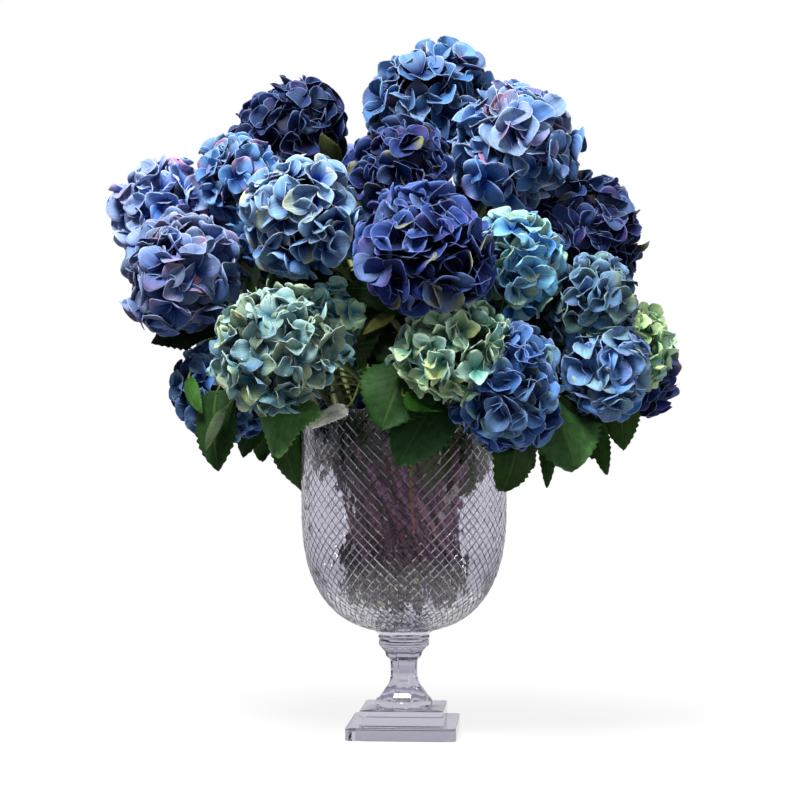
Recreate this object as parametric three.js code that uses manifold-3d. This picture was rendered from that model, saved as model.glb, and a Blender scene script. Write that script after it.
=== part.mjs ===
// Hydrangeas in a footed cut-glass vase.
// Millimetres, +Z up, origin in the middle of the underside of the square foot, front towards -Y.

import * as THREE from 'three';
import { ConvexHull } from 'three/addons/math/ConvexHull.js';
import { mergeVertices } from 'three/addons/utils/BufferGeometryUtils.js';
import Module from 'manifold-3d';

const wasm = await Module();
wasm.setup();

// Driving dimensions of the foot
const PLATE_SIDE = 146;
const PLATE_HEIGHT = 17;
const STEP_SIDE = 112;
const STEP_HEIGHT = 20;
const BALUSTER_SIDES = 8;
const COLLAR_SIDES = 16;
const FOOT_TOP = 132.7;

// Driving dimensions of the bowl: a straight side above a superellipse
const BOWL_RADIUS = 139.4;
const RIM_HEIGHT = 434;
const CURVE_TOP = 311;
const CURVE_DEPTH = 175;
const CURVE_POWER = 2.55;
const UNDERSIDE_HEIGHT = 133;
const UNDERSIDE_RADIUS = 33;
const CURVE_START_RADIUS = 40;
const WALL = 5;
const FLOOR_HEIGHT = 148;
const INNER_FLAT_RADIUS = 24;
const DIAMONDS_AROUND = 18;
const DIAMOND_RINGS = 13;
const DIAMOND_RELIEF = 1.4;
const INNER_RINGS = 5;

// Driving dimensions of the stems: three rings of straight lines that lean past one another at a waist
const STEM_RADIUS = 4.2;
const STEM_SIDES = 5;
const STEM_BEND_STEPS = 4;
const WAIST_HEIGHT = 280;
const STRAIGHT_TOP = 455;
const WAIST_RADII = [18, 42, 58];
const LEANS = [0.15, 0.44, 0.64];
const SEAT_GAP = 0.35;

// Driving dimensions of a flower head, as shares of its radius or degrees on it
const BUNCH_CENTRE = [0.45, 0.45, 275];
const BOSS_DEPTH = 0.6;
const BOSS_ANGLE = 9;
const BOSS_POINTS = 5;
const BUTT_GAP = 0.3;
const FLORETS_LARGE = 13;
const FLORETS_SMALL = 11;
const SMALL_HEAD = 68;
const FLORET_SPREAD = 1.78;
const PETALS = 4;
const FLORET_EYE = 0.83;
const PETAL_NOTCH = 0.72;
const PETAL_RAISED = 1.01;
const PETAL_TUCKED = 0.86;
const NOTCH_ANGLE = 13;
const PETAL_ANGLE = 27;
const PETAL_HALF_WIDTH = 24;
const CELL_SHARE = 0.9;
const VALLEY_DEPTH = 0.52;
const VALLEY_APART = 6;
const NEIGHBOUR_GAP = 0.2;

// Driving dimensions of a leaf
const LEAF_STATIONS = 7;
const LEAF_EDGE_THICKNESS = 0.8;
const LEAF_RIB_THICKNESS = 2.2;
const TOOTH = 0.1;
const LEAF_WIDEST = 0.62;
const LEAF_ROUNDNESS = 0.66;
const LEAF_FOLD = 0.16;
const LEAF_WAVE = 0.07;
const LEAF_ARCH = 0.1;
const LEAF_CLEARANCE = 3.4;
const BLADE_SIDES = 6;
const PETIOLE_RADIUS = 1.8;
const PETIOLE_STEPS = 4;
const PETIOLE_RISE = 0.18;

// Colours
const GLASS = 0xdcdce6;
const STEM_GREEN = 0x6d7048;
const PETALS_DENIM = 0x5f84c2;
const PETALS_SKY = 0x8ea8dc;
const PETALS_NAVY = 0x323c88;
const PETALS_PALE = 0xb6cce8;
const PETALS_LILAC = 0x8d9fd4;
const PETALS_AQUA = 0xa5c8ce;
const PETALS_SAGE = 0xb2ceb2;
const PETALS_TEAL = 0x80b0bc;
const PETALS_CORNFLOWER = 0x5877c0;
const PETALS_LIME = 0xa9c89c;
const PETALS_SLATE = 0x5a7fa8;

// Flower heads: centre, radius and ring of stems, the innermost ring first
const HEADS = [
  { name: 'top', centre: [34, 12, 858], radius: 90, ring: 0, colour: PETALS_DENIM },
  { name: 'top_right', centre: [150, -85, 779], radius: 87, ring: 0, colour: PETALS_SKY },
  { name: 'upper_left', centre: [-160, 39, 823], radius: 82, ring: 0, colour: PETALS_NAVY },
  { name: 'crown', centre: [8, -135, 739], radius: 73, ring: 0, colour: PETALS_NAVY },
  { name: 'front', centre: [41, -263, 623], radius: 85, ring: 1, colour: PETALS_NAVY },
  { name: 'pale_left', centre: [-114, -208, 672], radius: 78, ring: 1, colour: PETALS_PALE },
  { name: 'far_left_upper', centre: [-319, -32, 703], radius: 79, ring: 1, colour: PETALS_LILAC },
  { name: 'far_left_lower', centre: [-280, -135, 615], radius: 82, ring: 1, colour: PETALS_LILAC },
  { name: 'small_left', centre: [-215, -75, 747], radius: 58, ring: 1, colour: PETALS_SKY },
  { name: 'green_left', centre: [-140, -235, 508], radius: 84, ring: 2, colour: PETALS_AQUA },
  { name: 'green_small', centre: [-80, -138, 551], radius: 50, ring: 1, colour: PETALS_AQUA },
  { name: 'green_front', centre: [71, -231, 508], radius: 74, ring: 2, colour: PETALS_SAGE },
  { name: 'right_dark', centre: [248, -42, 669], radius: 78, ring: 1, colour: PETALS_NAVY },
  { name: 'right_teal', centre: [150, -149, 620], radius: 67, ring: 1, colour: PETALS_TEAL },
  { name: 'right_slate', centre: [250, -118, 574], radius: 60, ring: 1, colour: PETALS_SLATE },
  { name: 'right_blue', centre: [268, -112, 487], radius: 67, ring: 2, colour: PETALS_DENIM },
  { name: 'low_blue', centre: [143, -206, 451], radius: 70, ring: 2, colour: PETALS_CORNFLOWER },
  { name: 'right_lime', centre: [305, 2, 524], radius: 63, ring: 2, colour: PETALS_LIME },
  { name: 'right_rear', centre: [326, 93, 492], radius: 59, ring: 2, colour: PETALS_NAVY },
  { name: 'left_low', centre: [-230, -86, 459], radius: 69, ring: 2, colour: PETALS_CORNFLOWER },
  { name: 'back_top', centre: [-50, 140, 755], radius: 80, ring: 0, colour: PETALS_SKY },
  { name: 'back_top_right', centre: [135, 130, 745], radius: 78, ring: 0, colour: PETALS_NAVY },
  { name: 'back_top_left', centre: [-210, 125, 700], radius: 76, ring: 1, colour: PETALS_DENIM },
  { name: 'back_right_middle', centre: [75, 260, 635], radius: 80, ring: 1, colour: PETALS_LILAC },
  { name: 'back_left_middle', centre: [-85, 250, 640], radius: 80, ring: 1, colour: PETALS_NAVY },
  { name: 'back_right', centre: [230, 165, 600], radius: 80, ring: 1, colour: PETALS_PALE },
  { name: 'back_left', centre: [-245, 150, 570], radius: 80, ring: 2, colour: PETALS_AQUA },
  { name: 'back_left_low', centre: [-110, 250, 480], radius: 78, ring: 2, colour: PETALS_CORNFLOWER },
  { name: 'back_right_low', centre: [110, 255, 475], radius: 78, ring: 2, colour: PETALS_SAGE },
];

// Leaves: the stem that each grows from and the height where it leaves it, its base, its tip and its width.
// A leaf's upper side faces away from the vase, or the way that its row gives.
const FORE = [0.1, -1, 0.1];
const LEFT = [-0.35, -1, 0.1];
const RIGHT = [0.35, -1, 0.1];
const UP = [-0.1, -1, 0.35];
const LEAF_DARK = 0x2c5a30;
const LEAVES = [
  { stem: 'far_left_lower', at: 520, base: [-246, -80, 548], tip: [-326, -104, 523], width: 62, face: UP },
  { stem: 'green_left', at: 474, base: [-228, -165, 458], tip: [-224, -172, 355], width: 68, face: LEFT },
  { stem: 'green_left', at: 462, base: [-124, -178, 452], tip: [-150, -197, 374], width: 96 },
  { stem: 'back_left', at: 474, base: [-172, 10, 428], tip: [-146, 44, 326], width: 52, face: LEFT },
  { stem: 'green_front', at: 470, base: [3, -178, 488], tip: [-28, -198, 407], width: 104 },
  { stem: 'green_front', at: 450, base: [50, -152, 446], tip: [4, -168, 362], width: 90 },
  { stem: 'green_front', at: 490, base: [12, -208, 464], tip: [68, -216, 444], width: 32 },
  { stem: 'low_blue', at: 452, base: [154, -150, 418], tip: [138, -178, 330], width: 74 },
  { stem: 'right_blue', at: 452, base: [206, -112, 446], tip: [250, -138, 354], width: 92, face: RIGHT },
  { stem: 'low_blue', at: 446, base: [194, -98, 432], tip: [192, -104, 333], width: 30, face: FORE },
  { stem: 'right_lime', at: 452, base: [250, -60, 430], tip: [270, -88, 350], width: 34, face: FORE },
  { stem: 'right_lime', at: 470, base: [282, -34, 456], tip: [295, -52, 384], width: 52, face: RIGHT },
  { stem: 'front', at: 520, base: [0, -178, 556], tip: [-40, -176, 528], width: 18 },
  { stem: 'upper_left', at: 700, base: [-88, -46, 766], tip: [-106, -74, 802], width: 30, face: UP },
  { stem: 'back_left', at: 458, base: [-180, 96, 450], tip: [-216, 122, 368], width: 72 },
  { stem: 'back_left_low', at: 450, base: [-96, 178, 440], tip: [-112, 214, 352], width: 76 },
  { stem: 'back_right_low', at: 452, base: [58, 186, 448], tip: [72, 226, 362], width: 80 },
  { stem: 'back_right_low', at: 446, base: [136, 156, 440], tip: [176, 184, 356], width: 70 },
  { stem: 'right_rear', at: 452, base: [214, 62, 452], tip: [262, 84, 372], width: 74 },
  { stem: 'back_right', at: 500, base: [160, 110, 520], tip: [222, 128, 486], width: 54 },
  { stem: 'left_low', at: 458, base: [-186, -30, 452], tip: [-214, -40, 372], width: 58, face: LEFT },
];

const DEGREE = Math.PI / 180;

// A repeatable draw between 0 and 1
function seededRandom(seed) {
  let state = seed >>> 0;
  return () => {
    state = (Math.imul(state, 1664525) + 1013904223) >>> 0;
    return state / 2 ** 32;
  };
}

function vector(list) {
  return new THREE.Vector3(list[0], list[1], list[2]);
}

// Two unit vectors at right angles to a unit vector and to each other
function crossAxes(axis) {
  const helper = Math.abs(axis.z) < 0.9 ? new THREE.Vector3(0, 0, 1) : new THREE.Vector3(1, 0, 0);
  const first = new THREE.Vector3().crossVectors(helper, axis).normalize();
  const second = new THREE.Vector3().crossVectors(axis, first);
  return [first, second];
}

// A closed skin over rings of points that have the same count, from a start point to an end point.
// splitsFirst(ring, place) picks which diagonal splits a four-sided facet.
function skin(rings, startPoint, endPoint, splitsFirst = () => true) {
  const count = rings[0].length;
  const positions = [startPoint, ...rings.flat(), endPoint].flatMap((p) => [p.x, p.y, p.z]);
  const last = positions.length / 3 - 1;
  const indexOf = (ring, place) => 1 + ring * count + (place % count);
  const faces = [];
  for (let place = 0; place < count; place += 1) {
    faces.push(0, indexOf(0, place + 1), indexOf(0, place));
    faces.push(last, indexOf(rings.length - 1, place), indexOf(rings.length - 1, place + 1));
  }
  for (let ring = 0; ring < rings.length - 1; ring += 1) {
    for (let place = 0; place < count; place += 1) {
      const a = indexOf(ring, place);
      const b = indexOf(ring, place + 1);
      const c = indexOf(ring + 1, place + 1);
      const d = indexOf(ring + 1, place);
      faces.push(...(splitsFirst(ring, place) ? [a, b, c, a, c, d] : [a, b, d, b, c, d]));
    }
  }
  const geometry = new THREE.BufferGeometry();
  geometry.setAttribute('position', new THREE.Float32BufferAttribute(positions, 3));
  geometry.setIndex(faces);
  return geometry;
}

// Rings of points round a centreline. The last ring faces along endAxis and starts beside endAcross,
// and the others follow from it without twist.
function tubeRings(points, radius, sides, endAxis, endAcross) {
  const rings = [];
  let across = endAcross;
  for (let i = points.length - 1; i >= 0; i -= 1) {
    const before = points[Math.max(i - 1, 0)];
    const after = points[Math.min(i + 1, points.length - 1)];
    const along = i === points.length - 1 ? endAxis : after.clone().sub(before).normalize();
    across = across.clone().addScaledVector(along, -across.dot(along)).normalize();
    const side = new THREE.Vector3().crossVectors(along, across);
    const ring = [];
    for (let k = 0; k < sides; k += 1) {
      const turn = (2 * Math.PI * (k + 0.5)) / sides;
      const point = points[i].clone().addScaledVector(across, radius * Math.cos(turn));
      ring.push(point.addScaledVector(side, radius * Math.sin(turn)));
    }
    rings.unshift(ring);
  }
  return rings;
}

function solidOf(geometry) {
  const bare = geometry.clone();
  bare.deleteAttribute('normal');
  bare.deleteAttribute('uv');
  const merged = mergeVertices(bare, 1e-3);
  return new wasm.Manifold(
    new wasm.Mesh({
      numProp: 3,
      vertProperties: merged.attributes.position.array,
      triVerts: new Uint32Array(merged.index.array),
    }),
  );
}

function geometryOf(solid) {
  const mesh = solid.getMesh();
  const geometry = new THREE.BufferGeometry();
  geometry.setAttribute('position', new THREE.BufferAttribute(mesh.vertProperties, 3));
  geometry.setIndex(new THREE.BufferAttribute(mesh.triVerts, 1));
  return geometry;
}

function namedMesh(name, geometry, colour, roughness, look = {}) {
  const material = new THREE.MeshStandardMaterial({ color: colour, roughness, metalness: 0, ...look });
  const mesh = new THREE.Mesh(geometry, material);
  mesh.name = name;
  return mesh;
}

// The bowl's side as height over radius, from the underside up to the rim
class BowlSide extends THREE.Curve {
  constructor(radius, depth, startRadius) {
    super();
    this.radius = radius;
    this.depth = depth;
    this.startRadius = startRadius;
  }

  getPoint(t, target = new THREE.Vector2()) {
    const curveShare = 0.66;
    if (t > curveShare) {
      const rise = (t - curveShare) / (1 - curveShare);
      return target.set(this.radius, CURVE_TOP + rise * (RIM_HEIGHT - CURVE_TOP));
    }
    const last = Math.acos((this.startRadius / this.radius) ** (CURVE_POWER / 2));
    const angle = last * (1 - t / curveShare);
    return target.set(
      this.radius * Math.cos(angle) ** (2 / CURVE_POWER),
      CURVE_TOP - this.depth * Math.sin(angle) ** (2 / CURVE_POWER),
    );
  }
}

const innerSide = new BowlSide(BOWL_RADIUS - WALL, CURVE_TOP - FLOOR_HEIGHT, INNER_FLAT_RADIUS);
const innerProfile = innerSide.getSpacedPoints(INNER_RINGS);

function ringOfPoints(radius, height, count) {
  return Array.from({ length: count }, (_, k) => {
    const turn = (2 * Math.PI * k) / count;
    return new THREE.Vector3(radius * Math.cos(turn), radius * Math.sin(turn), height);
  });
}

// The bowl, with a lattice of cut diamonds that stand out on its outside
function vaseBowl() {
  const count = 2 * DIAMONDS_AROUND;
  const outer = new BowlSide(BOWL_RADIUS, CURVE_DEPTH, CURVE_START_RADIUS).getSpacedPoints(DIAMOND_RINGS);
  const isGroove = (ring, place) => (ring + place) % 2 === 0;
  const outerRings = outer.map((point, ring) => {
    const plain = ring === 0 || ring === DIAMOND_RINGS;
    return ringOfPoints(1, point.y, count).map((p, place) => {
      const sunk = !plain && isGroove(ring, place) ? DIAMOND_RELIEF : 0;
      return new THREE.Vector3(p.x * (point.x - sunk), p.y * (point.x - sunk), point.y);
    });
  });
  const innerRings = innerProfile.map((point) => ringOfPoints(point.x, point.y, count)).reverse();
  const underside = ringOfPoints(UNDERSIDE_RADIUS, UNDERSIDE_HEIGHT, count);
  const rings = [underside, ...outerRings, ...innerRings];
  const bottom = new THREE.Vector3(0, 0, UNDERSIDE_HEIGHT);
  const floor = new THREE.Vector3(0, 0, innerProfile[0].y);
  return skin(rings, bottom, floor, (ring, place) => isGroove(ring - 1, place));
}

function lathed(profile, sides) {
  const points = profile.map(([radius, height]) => new THREE.Vector2(radius, height));
  const geometry = new THREE.LatheGeometry(points, sides, Math.PI / sides);
  return geometry.rotateX(Math.PI / 2);
}

function squareStep(side, low, height) {
  return new THREE.BoxGeometry(side, side, height).translate(0, 0, low + height / 2);
}

// The foot: two square steps, a panel-cut baluster and a collar with two beads under the bowl
function vaseFoot() {
  const stepTop = PLATE_HEIGHT + STEP_HEIGHT;
  const flat = 1 / Math.cos(Math.PI / BALUSTER_SIDES);
  const baluster = [
    [0, stepTop - 1], [37, stepTop - 1], [36.7, 44.5], [33.2, 48.6], [28.2, 55.6], [22.6, 63.8], [19.2, 71],
    [17.6, 80], [17.6, 93], [18.8, 100.6], [23.6, 104.6], [25, 110.6], [29.6, 116], [29.6, 119], [0, 119],
  ].map(([radius, height]) => [radius * flat, height]);
  const collar = [
    [0, 117.5], [32.4, 117.5], [34.1, 120.5], [34.2, 124.5], [32.6, 127.6], [34, 128.8], [35, 130.6],
    [33.5, FOOT_TOP], [0, FOOT_TOP],
  ];
  return geometryOf(
    wasm.Manifold.union([
      solidOf(squareStep(PLATE_SIDE, 0, PLATE_HEIGHT)),
      solidOf(squareStep(STEP_SIDE, PLATE_HEIGHT - 1, STEP_HEIGHT + 1)),
      solidOf(lathed(baluster, BALUSTER_SIDES)),
      solidOf(lathed(collar, COLLAR_SIDES)),
    ]),
  );
}

// Distance between a point inside the bowl and the bowl's faceted inner wall or floor
function gapToBowl(point) {
  const floorGap = point.z - innerProfile[0].y;
  const top = innerProfile.findIndex((p) => p.y > point.z);
  if (top < 1) return floorGap;
  const [low, high] = [innerProfile[top - 1], innerProfile[top]];
  const rise = (point.z - low.y) / (high.y - low.y);
  const facet = Math.PI / DIAMONDS_AROUND;
  const turn = Math.atan2(point.y, point.x);
  const local = turn - facet * Math.floor(turn / facet) - facet / 2;
  const radius = (low.x + rise * (high.x - low.x)) * (Math.cos(facet / 2) / Math.cos(local));
  const slope = (high.y - low.y) / Math.hypot(high.x - low.x, high.y - low.y);
  return Math.min(floorGap, (radius - Math.hypot(point.x, point.y)) * slope);
}

// The straight line of a stem, which passes the vase's axis at the waist
function stemLine(ring, turn) {
  const outward = new THREE.Vector3(Math.cos(turn), Math.sin(turn), 0);
  const aside = new THREE.Vector3(-Math.sin(turn), Math.cos(turn), 0);
  return (height) =>
    new THREE.Vector3(0, 0, height)
      .addScaledVector(aside, WAIST_RADII[ring])
      .addScaledVector(outward, LEANS[ring] * (height - WAIST_HEIGHT));
}

// Stems of one ring share the circle evenly, in the order of their heads round the vase
function stemTurns(heads) {
  const turns = new Map();
  for (let ring = 0; ring < WAIST_RADII.length; ring += 1) {
    const members = heads
      .filter((head) => head.ring === ring)
      .map((head) => ({ head, turn: Math.atan2(head.centre[1], head.centre[0]) }))
      .sort((a, b) => a.turn - b.turn);
    const share = (2 * Math.PI) / members.length;
    const offset = members.reduce((sum, member, k) => sum + member.turn - share * k, 0) / members.length;
    members.forEach(({ head }, k) => turns.set(head.name, offset + share * k));
  }
  return turns;
}

// The height where the stem's cut end comes to rest on the bowl
function stemFootHeight(line) {
  const along = line(1).sub(line(0)).normalize();
  const [first, second] = crossAxes(along);
  const gapAt = (height) => {
    const end = line(height);
    const corners = Array.from({ length: 16 }, (_, k) =>
      end
        .clone()
        .addScaledVector(first, STEM_RADIUS * Math.cos((k * Math.PI) / 8))
        .addScaledVector(second, STEM_RADIUS * Math.sin((k * Math.PI) / 8)),
    );
    return Math.min(...corners.map(gapToBowl));
  };
  let [low, high] = [FLOOR_HEIGHT - 5, WAIST_HEIGHT];
  for (let step = 0; step < 40; step += 1) {
    const middle = (low + high) / 2;
    if (gapAt(middle) < SEAT_GAP) low = middle;
    else high = middle;
  }
  return high;
}

// The way a head faces: away from a point that lies below it inside the bunch
function headAxis(head) {
  const centre = vector(head.centre);
  const [shareX, shareY, lift] = BUNCH_CENTRE;
  const root = new THREE.Vector3(shareX * centre.x, shareY * centre.y, shareX * centre.z + lift);
  return centre.sub(root).normalize();
}

// The centreline of a stem: straight from its cut end up past the rim, then bending into its head
function stemPath(head, turn) {
  const line = stemLine(head.ring, turn);
  const axis = headAxis(head);
  const end = vector(head.centre).addScaledVector(axis, -BOSS_DEPTH * head.radius - BUTT_GAP);
  const bendStart = line(STRAIGHT_TOP);
  const lean = line(STRAIGHT_TOP + 1).sub(bendStart).normalize();
  const reach = end.distanceTo(bendStart);
  const bend = new THREE.CubicBezierCurve3(
    bendStart,
    bendStart.clone().addScaledVector(lean, 0.4 * reach),
    end.clone().addScaledVector(axis, -0.35 * reach),
    end,
  );
  return { foot: line(stemFootHeight(line)), bend, axis };
}

function stemTube({ foot, bend, axis }) {
  const points = [foot, ...bend.getPoints(STEM_BEND_STEPS)];
  const rings = tubeRings(points, STEM_RADIUS, STEM_SIDES, axis, crossAxes(axis)[0]);
  return skin(rings, foot, bend.v3);
}

// The point of a stem's centreline at a height above the vase's waist
function pointAtHeight({ foot, bend }, height) {
  const start = bend.v0;
  if (height <= start.z) return foot.clone().lerp(start, (height - foot.z) / (start.z - foot.z));
  const points = bend.getPoints(60);
  return points.find((point) => point.z >= height) ?? points[points.length - 1];
}

// Directions spread evenly over a head, the innermost at its axis, down to the collar round its stem
function floretDirections(axis, count) {
  const [first, second] = crossAxes(axis);
  const goldenTurn = Math.PI * (3 - Math.sqrt(5));
  return Array.from({ length: count }, (_, k) => {
    const height = 1 - (FLORET_SPREAD * (k + 0.5)) / count;
    const width = Math.sqrt(1 - height * height);
    return axis
      .clone()
      .multiplyScalar(height)
      .addScaledVector(first, width * Math.cos(goldenTurn * k))
      .addScaledVector(second, width * Math.sin(goldenTurn * k));
  });
}

// How far from a site one can go along a direction before another site is nearer
function reachInCell(site, towards, others) {
  let reach = Math.PI / 2;
  for (const other of others) {
    const pull = other.dot(towards);
    if (other !== site && pull > 1e-6) reach = Math.min(reach, Math.atan2(1 - other.dot(site), pull));
  }
  return reach;
}

function turnedFrom(site, towards, angle) {
  return site.clone().multiplyScalar(Math.cos(angle)).addScaledVector(towards, Math.sin(angle));
}

// One floret: a sunk eye, a notch between each two petals, and petals that overlap like a pinwheel
function floretPoints(site, others, random) {
  const [first, second] = crossAxes(site);
  const start = random() * Math.PI;
  const points = [{ direction: site, reach: FLORET_EYE }];
  const add = (turn, angle, reach) => {
    const towards = first.clone().multiplyScalar(Math.cos(turn)).addScaledVector(second, Math.sin(turn));
    const limit = CELL_SHARE * reachInCell(site, towards, others);
    const jitter = 0.95 + 0.1 * random();
    points.push({ direction: turnedFrom(site, towards, Math.min(angle, limit) * jitter), reach });
  };
  for (let petal = 0; petal < PETALS; petal += 1) {
    const middle = start + (2 * Math.PI * petal) / PETALS;
    add(middle - PETAL_HALF_WIDTH * DEGREE, PETAL_ANGLE * DEGREE, PETAL_TUCKED + 0.04 * random());
    add(middle + PETAL_HALF_WIDTH * DEGREE, PETAL_ANGLE * DEGREE, PETAL_RAISED + 0.03 * random());
    add(middle + 45 * DEGREE, NOTCH_ANGLE * DEGREE, PETAL_NOTCH);
  }
  return points;
}

function hullFaces(directions) {
  const places = new Map(directions.map((direction, place) => [direction, place]));
  const hull = new ConvexHull().setFromPoints(directions);
  return hull.faces.map((face) => {
    const corners = [];
    let edge = face.edge;
    do {
      corners.push(places.get(edge.head().point));
      edge = edge.next;
    } while (edge !== face.edge);
    return corners;
  });
}

// The low places between florets, where three of them meet
function valleyPoints(sites, random) {
  const found = [];
  for (const [a, b, c] of hullFaces(sites)) {
    const towardsB = new THREE.Vector3().subVectors(sites[b], sites[a]);
    const towardsC = new THREE.Vector3().subVectors(sites[c], sites[a]);
    const direction = towardsB.cross(towardsC).normalize();
    const isNew = found.every((point) => point.direction.angleTo(direction) > VALLEY_APART * DEGREE);
    if (isNew) found.push({ direction, reach: VALLEY_DEPTH + 0.05 * random() });
  }
  return found;
}

// The flat place in the middle of a head's underside where its stem ends
function bossPoints(axis) {
  const down = axis.clone().negate();
  const [first, second] = crossAxes(down);
  return Array.from({ length: BOSS_POINTS }, (_, k) => {
    const turn = (2 * Math.PI * k) / BOSS_POINTS;
    const towards = first.clone().multiplyScalar(Math.cos(turn)).addScaledVector(second, Math.sin(turn));
    return {
      direction: turnedFrom(down, towards, BOSS_ANGLE * DEGREE),
      reach: BOSS_DEPTH / Math.cos(BOSS_ANGLE * DEGREE),
    };
  });
}

// The planes where a head presses against its neighbours
function pressPlanes(head, heads) {
  const centre = vector(head.centre);
  const planes = [];
  for (const other of heads) {
    const apart = vector(other.centre).sub(centre);
    const distance = apart.length();
    if (other === head || distance > 1.06 * (head.radius + other.radius)) continue;
    const offset = (distance ** 2 + head.radius ** 2 - other.radius ** 2) / (2 * distance) - NEIGHBOUR_GAP;
    planes.push({ normal: apart.normalize(), offset });
  }
  return planes;
}

// A flower head: many four-petalled florets that stand out of a smaller core, pressed flat by its neighbours
function flowerHead(head, heads, seed) {
  const random = seededRandom(seed);
  const axis = headAxis(head);
  const sites = floretDirections(axis, head.radius < SMALL_HEAD ? FLORETS_SMALL : FLORETS_LARGE);
  const withBoss = [...sites, axis.clone().negate()];
  const points = [
    ...sites.flatMap((site) => floretPoints(site, withBoss, random)),
    ...valleyPoints(withBoss, random),
    ...bossPoints(axis),
  ];
  const planes = pressPlanes(head, heads);
  const faces = hullFaces(points.map((point) => point.direction));
  const corners = points.map(({ direction, reach }) => {
    let radius = head.radius * reach;
    for (const { normal, offset } of planes) {
      const along = direction.dot(normal);
      if (along * radius > offset) radius = offset / along;
    }
    return vector(head.centre).addScaledVector(direction, radius);
  });
  const geometry = new THREE.BufferGeometry();
  geometry.setAttribute(
    'position',
    new THREE.Float32BufferAttribute(corners.flatMap((p) => [p.x, p.y, p.z]), 3),
  );
  geometry.setIndex(faces.flat());
  return geometry;
}

// Moves a point of a leaf out of the heads and out of the bowl
function clearOfNeighbours(point, heads) {
  const moved = point.clone();
  for (let pass = 0; pass < 6; pass += 1) {
    for (const head of heads) {
      const away = moved.clone().sub(vector(head.centre));
      const least = 1.03 * head.radius + LEAF_CLEARANCE;
      if (away.length() < least) moved.copy(vector(head.centre)).addScaledVector(away.normalize(), least);
    }
    const radius = Math.hypot(moved.x, moved.y);
    const least = BOWL_RADIUS + LEAF_CLEARANCE;
    if (moved.z < RIM_HEIGHT + LEAF_CLEARANCE && radius < least) {
      moved.x *= least / radius;
      moved.y *= least / radius;
    }
  }
  return moved;
}

// The middle surface of a leaf: its rib and its two toothed, waved edges
function leafSurface(leaf, heads, random) {
  const base = vector(leaf.base);
  const tip = vector(leaf.tip);
  const along = tip.clone().sub(base);
  const length = along.length();
  along.normalize();
  const outward = vector(leaf.face ?? [base.x + tip.x, base.y + tip.y, 60]).normalize();
  const normal = outward.addScaledVector(along, -outward.dot(along)).normalize();
  const across = new THREE.Vector3().crossVectors(along, normal);
  const phase = random() * 2 * Math.PI;
  const stations = Array.from({ length: LEAF_STATIONS + 1 }, (_, i) => {
    const t = i / LEAF_STATIONS;
    const rise = LEAF_ARCH * length * 4 * t * (1 - t);
    const rib = base.clone().addScaledVector(along, t * length).addScaledVector(normal, rise);
    const tooth = 1 - (i % 2 === 0 ? TOOTH : 0);
    const half = (leaf.width / 2) * Math.sin(Math.PI * t ** LEAF_WIDEST) ** LEAF_ROUNDNESS * tooth;
    const [left, right] = [-1, 1].map((side) => {
      const wave = LEAF_WAVE * leaf.width * Math.sin(phase + side + 7 * t);
      return rib
        .clone()
        .addScaledVector(across, side * half)
        .addScaledVector(normal, wave - LEAF_FOLD * half);
    });
    return [left, rib, right].map((point) => clearOfNeighbours(point, heads));
  });
  return { stations, normal, across };
}

// The outline of a leaf's blade at each station: six points, thicker at the rib than at the edges
function bladeRings({ stations, normal }) {
  const lifted = (point, thickness) => point.clone().addScaledVector(normal, thickness / 2);
  return stations.slice(1, -1).map(([left, rib, right]) => [
    lifted(right, -LEAF_EDGE_THICKNESS),
    lifted(rib, -LEAF_RIB_THICKNESS),
    lifted(left, -LEAF_EDGE_THICKNESS),
    lifted(left, LEAF_EDGE_THICKNESS),
    lifted(rib, LEAF_RIB_THICKNESS),
    lifted(right, LEAF_EDGE_THICKNESS),
  ]);
}

// The leaf's stalk, from inside its stem to the leaf's base
function petioleRings(leaf, { stations, across }, path) {
  const start = pointAtHeight(path, leaf.at);
  const base = stations[0][1];
  const towards = stations[1][1].clone().sub(base).normalize();
  const reach = start.distanceTo(base);
  const bend = new THREE.CubicBezierCurve3(
    start,
    start.clone().lerp(base, 0.35).add(new THREE.Vector3(0, 0, PETIOLE_RISE * reach)),
    base.clone().addScaledVector(towards, -0.3 * reach),
    base,
  );
  return tubeRings(bend.getPoints(PETIOLE_STEPS), PETIOLE_RADIUS, BLADE_SIDES, towards, across);
}

// A leaf with its stalk. Facets on the upper and lower face of the blade are split alike.
function leafSkin(leaf, surface, path) {
  const stalk = petioleRings(leaf, surface, path);
  const start = pointAtHeight(path, leaf.at);
  const tip = surface.stations[LEAF_STATIONS][1];
  const lowerLeft = 1;
  const upperRight = 4;
  const splitsFirst = (ring, place) => place !== lowerLeft && place !== upperRight;
  return skin([...stalk, ...bladeRings(surface)], start, tip, splitsFirst);
}

// Joins solids, and fills any hollow that joining seals
function fused(pieces) {
  const parts = wasm.Manifold.union(pieces).decompose();
  return wasm.Manifold.compose(parts.filter((part) => part.volume() > 0));
}

function leafyStem(head, path, heads, seed) {
  const random = seededRandom(seed);
  const pieces = [solidOf(stemTube(path))];
  for (const leaf of LEAVES.filter(({ stem }) => stem === head.name)) {
    const surface = leafSurface(leaf, heads, random);
    pieces.push(solidOf(leafSkin(leaf, surface, path)));
  }
  return geometryOf(fused(pieces));
}

const hydrangeas = new THREE.Group();
const glassLook = { transparent: true, opacity: 0.45 };
hydrangeas.add(namedMesh('vase_bowl', vaseBowl(), GLASS, 0.05, glassLook));
hydrangeas.add(namedMesh('vase_foot', vaseFoot(), GLASS, 0.05, glassLook));

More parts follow.
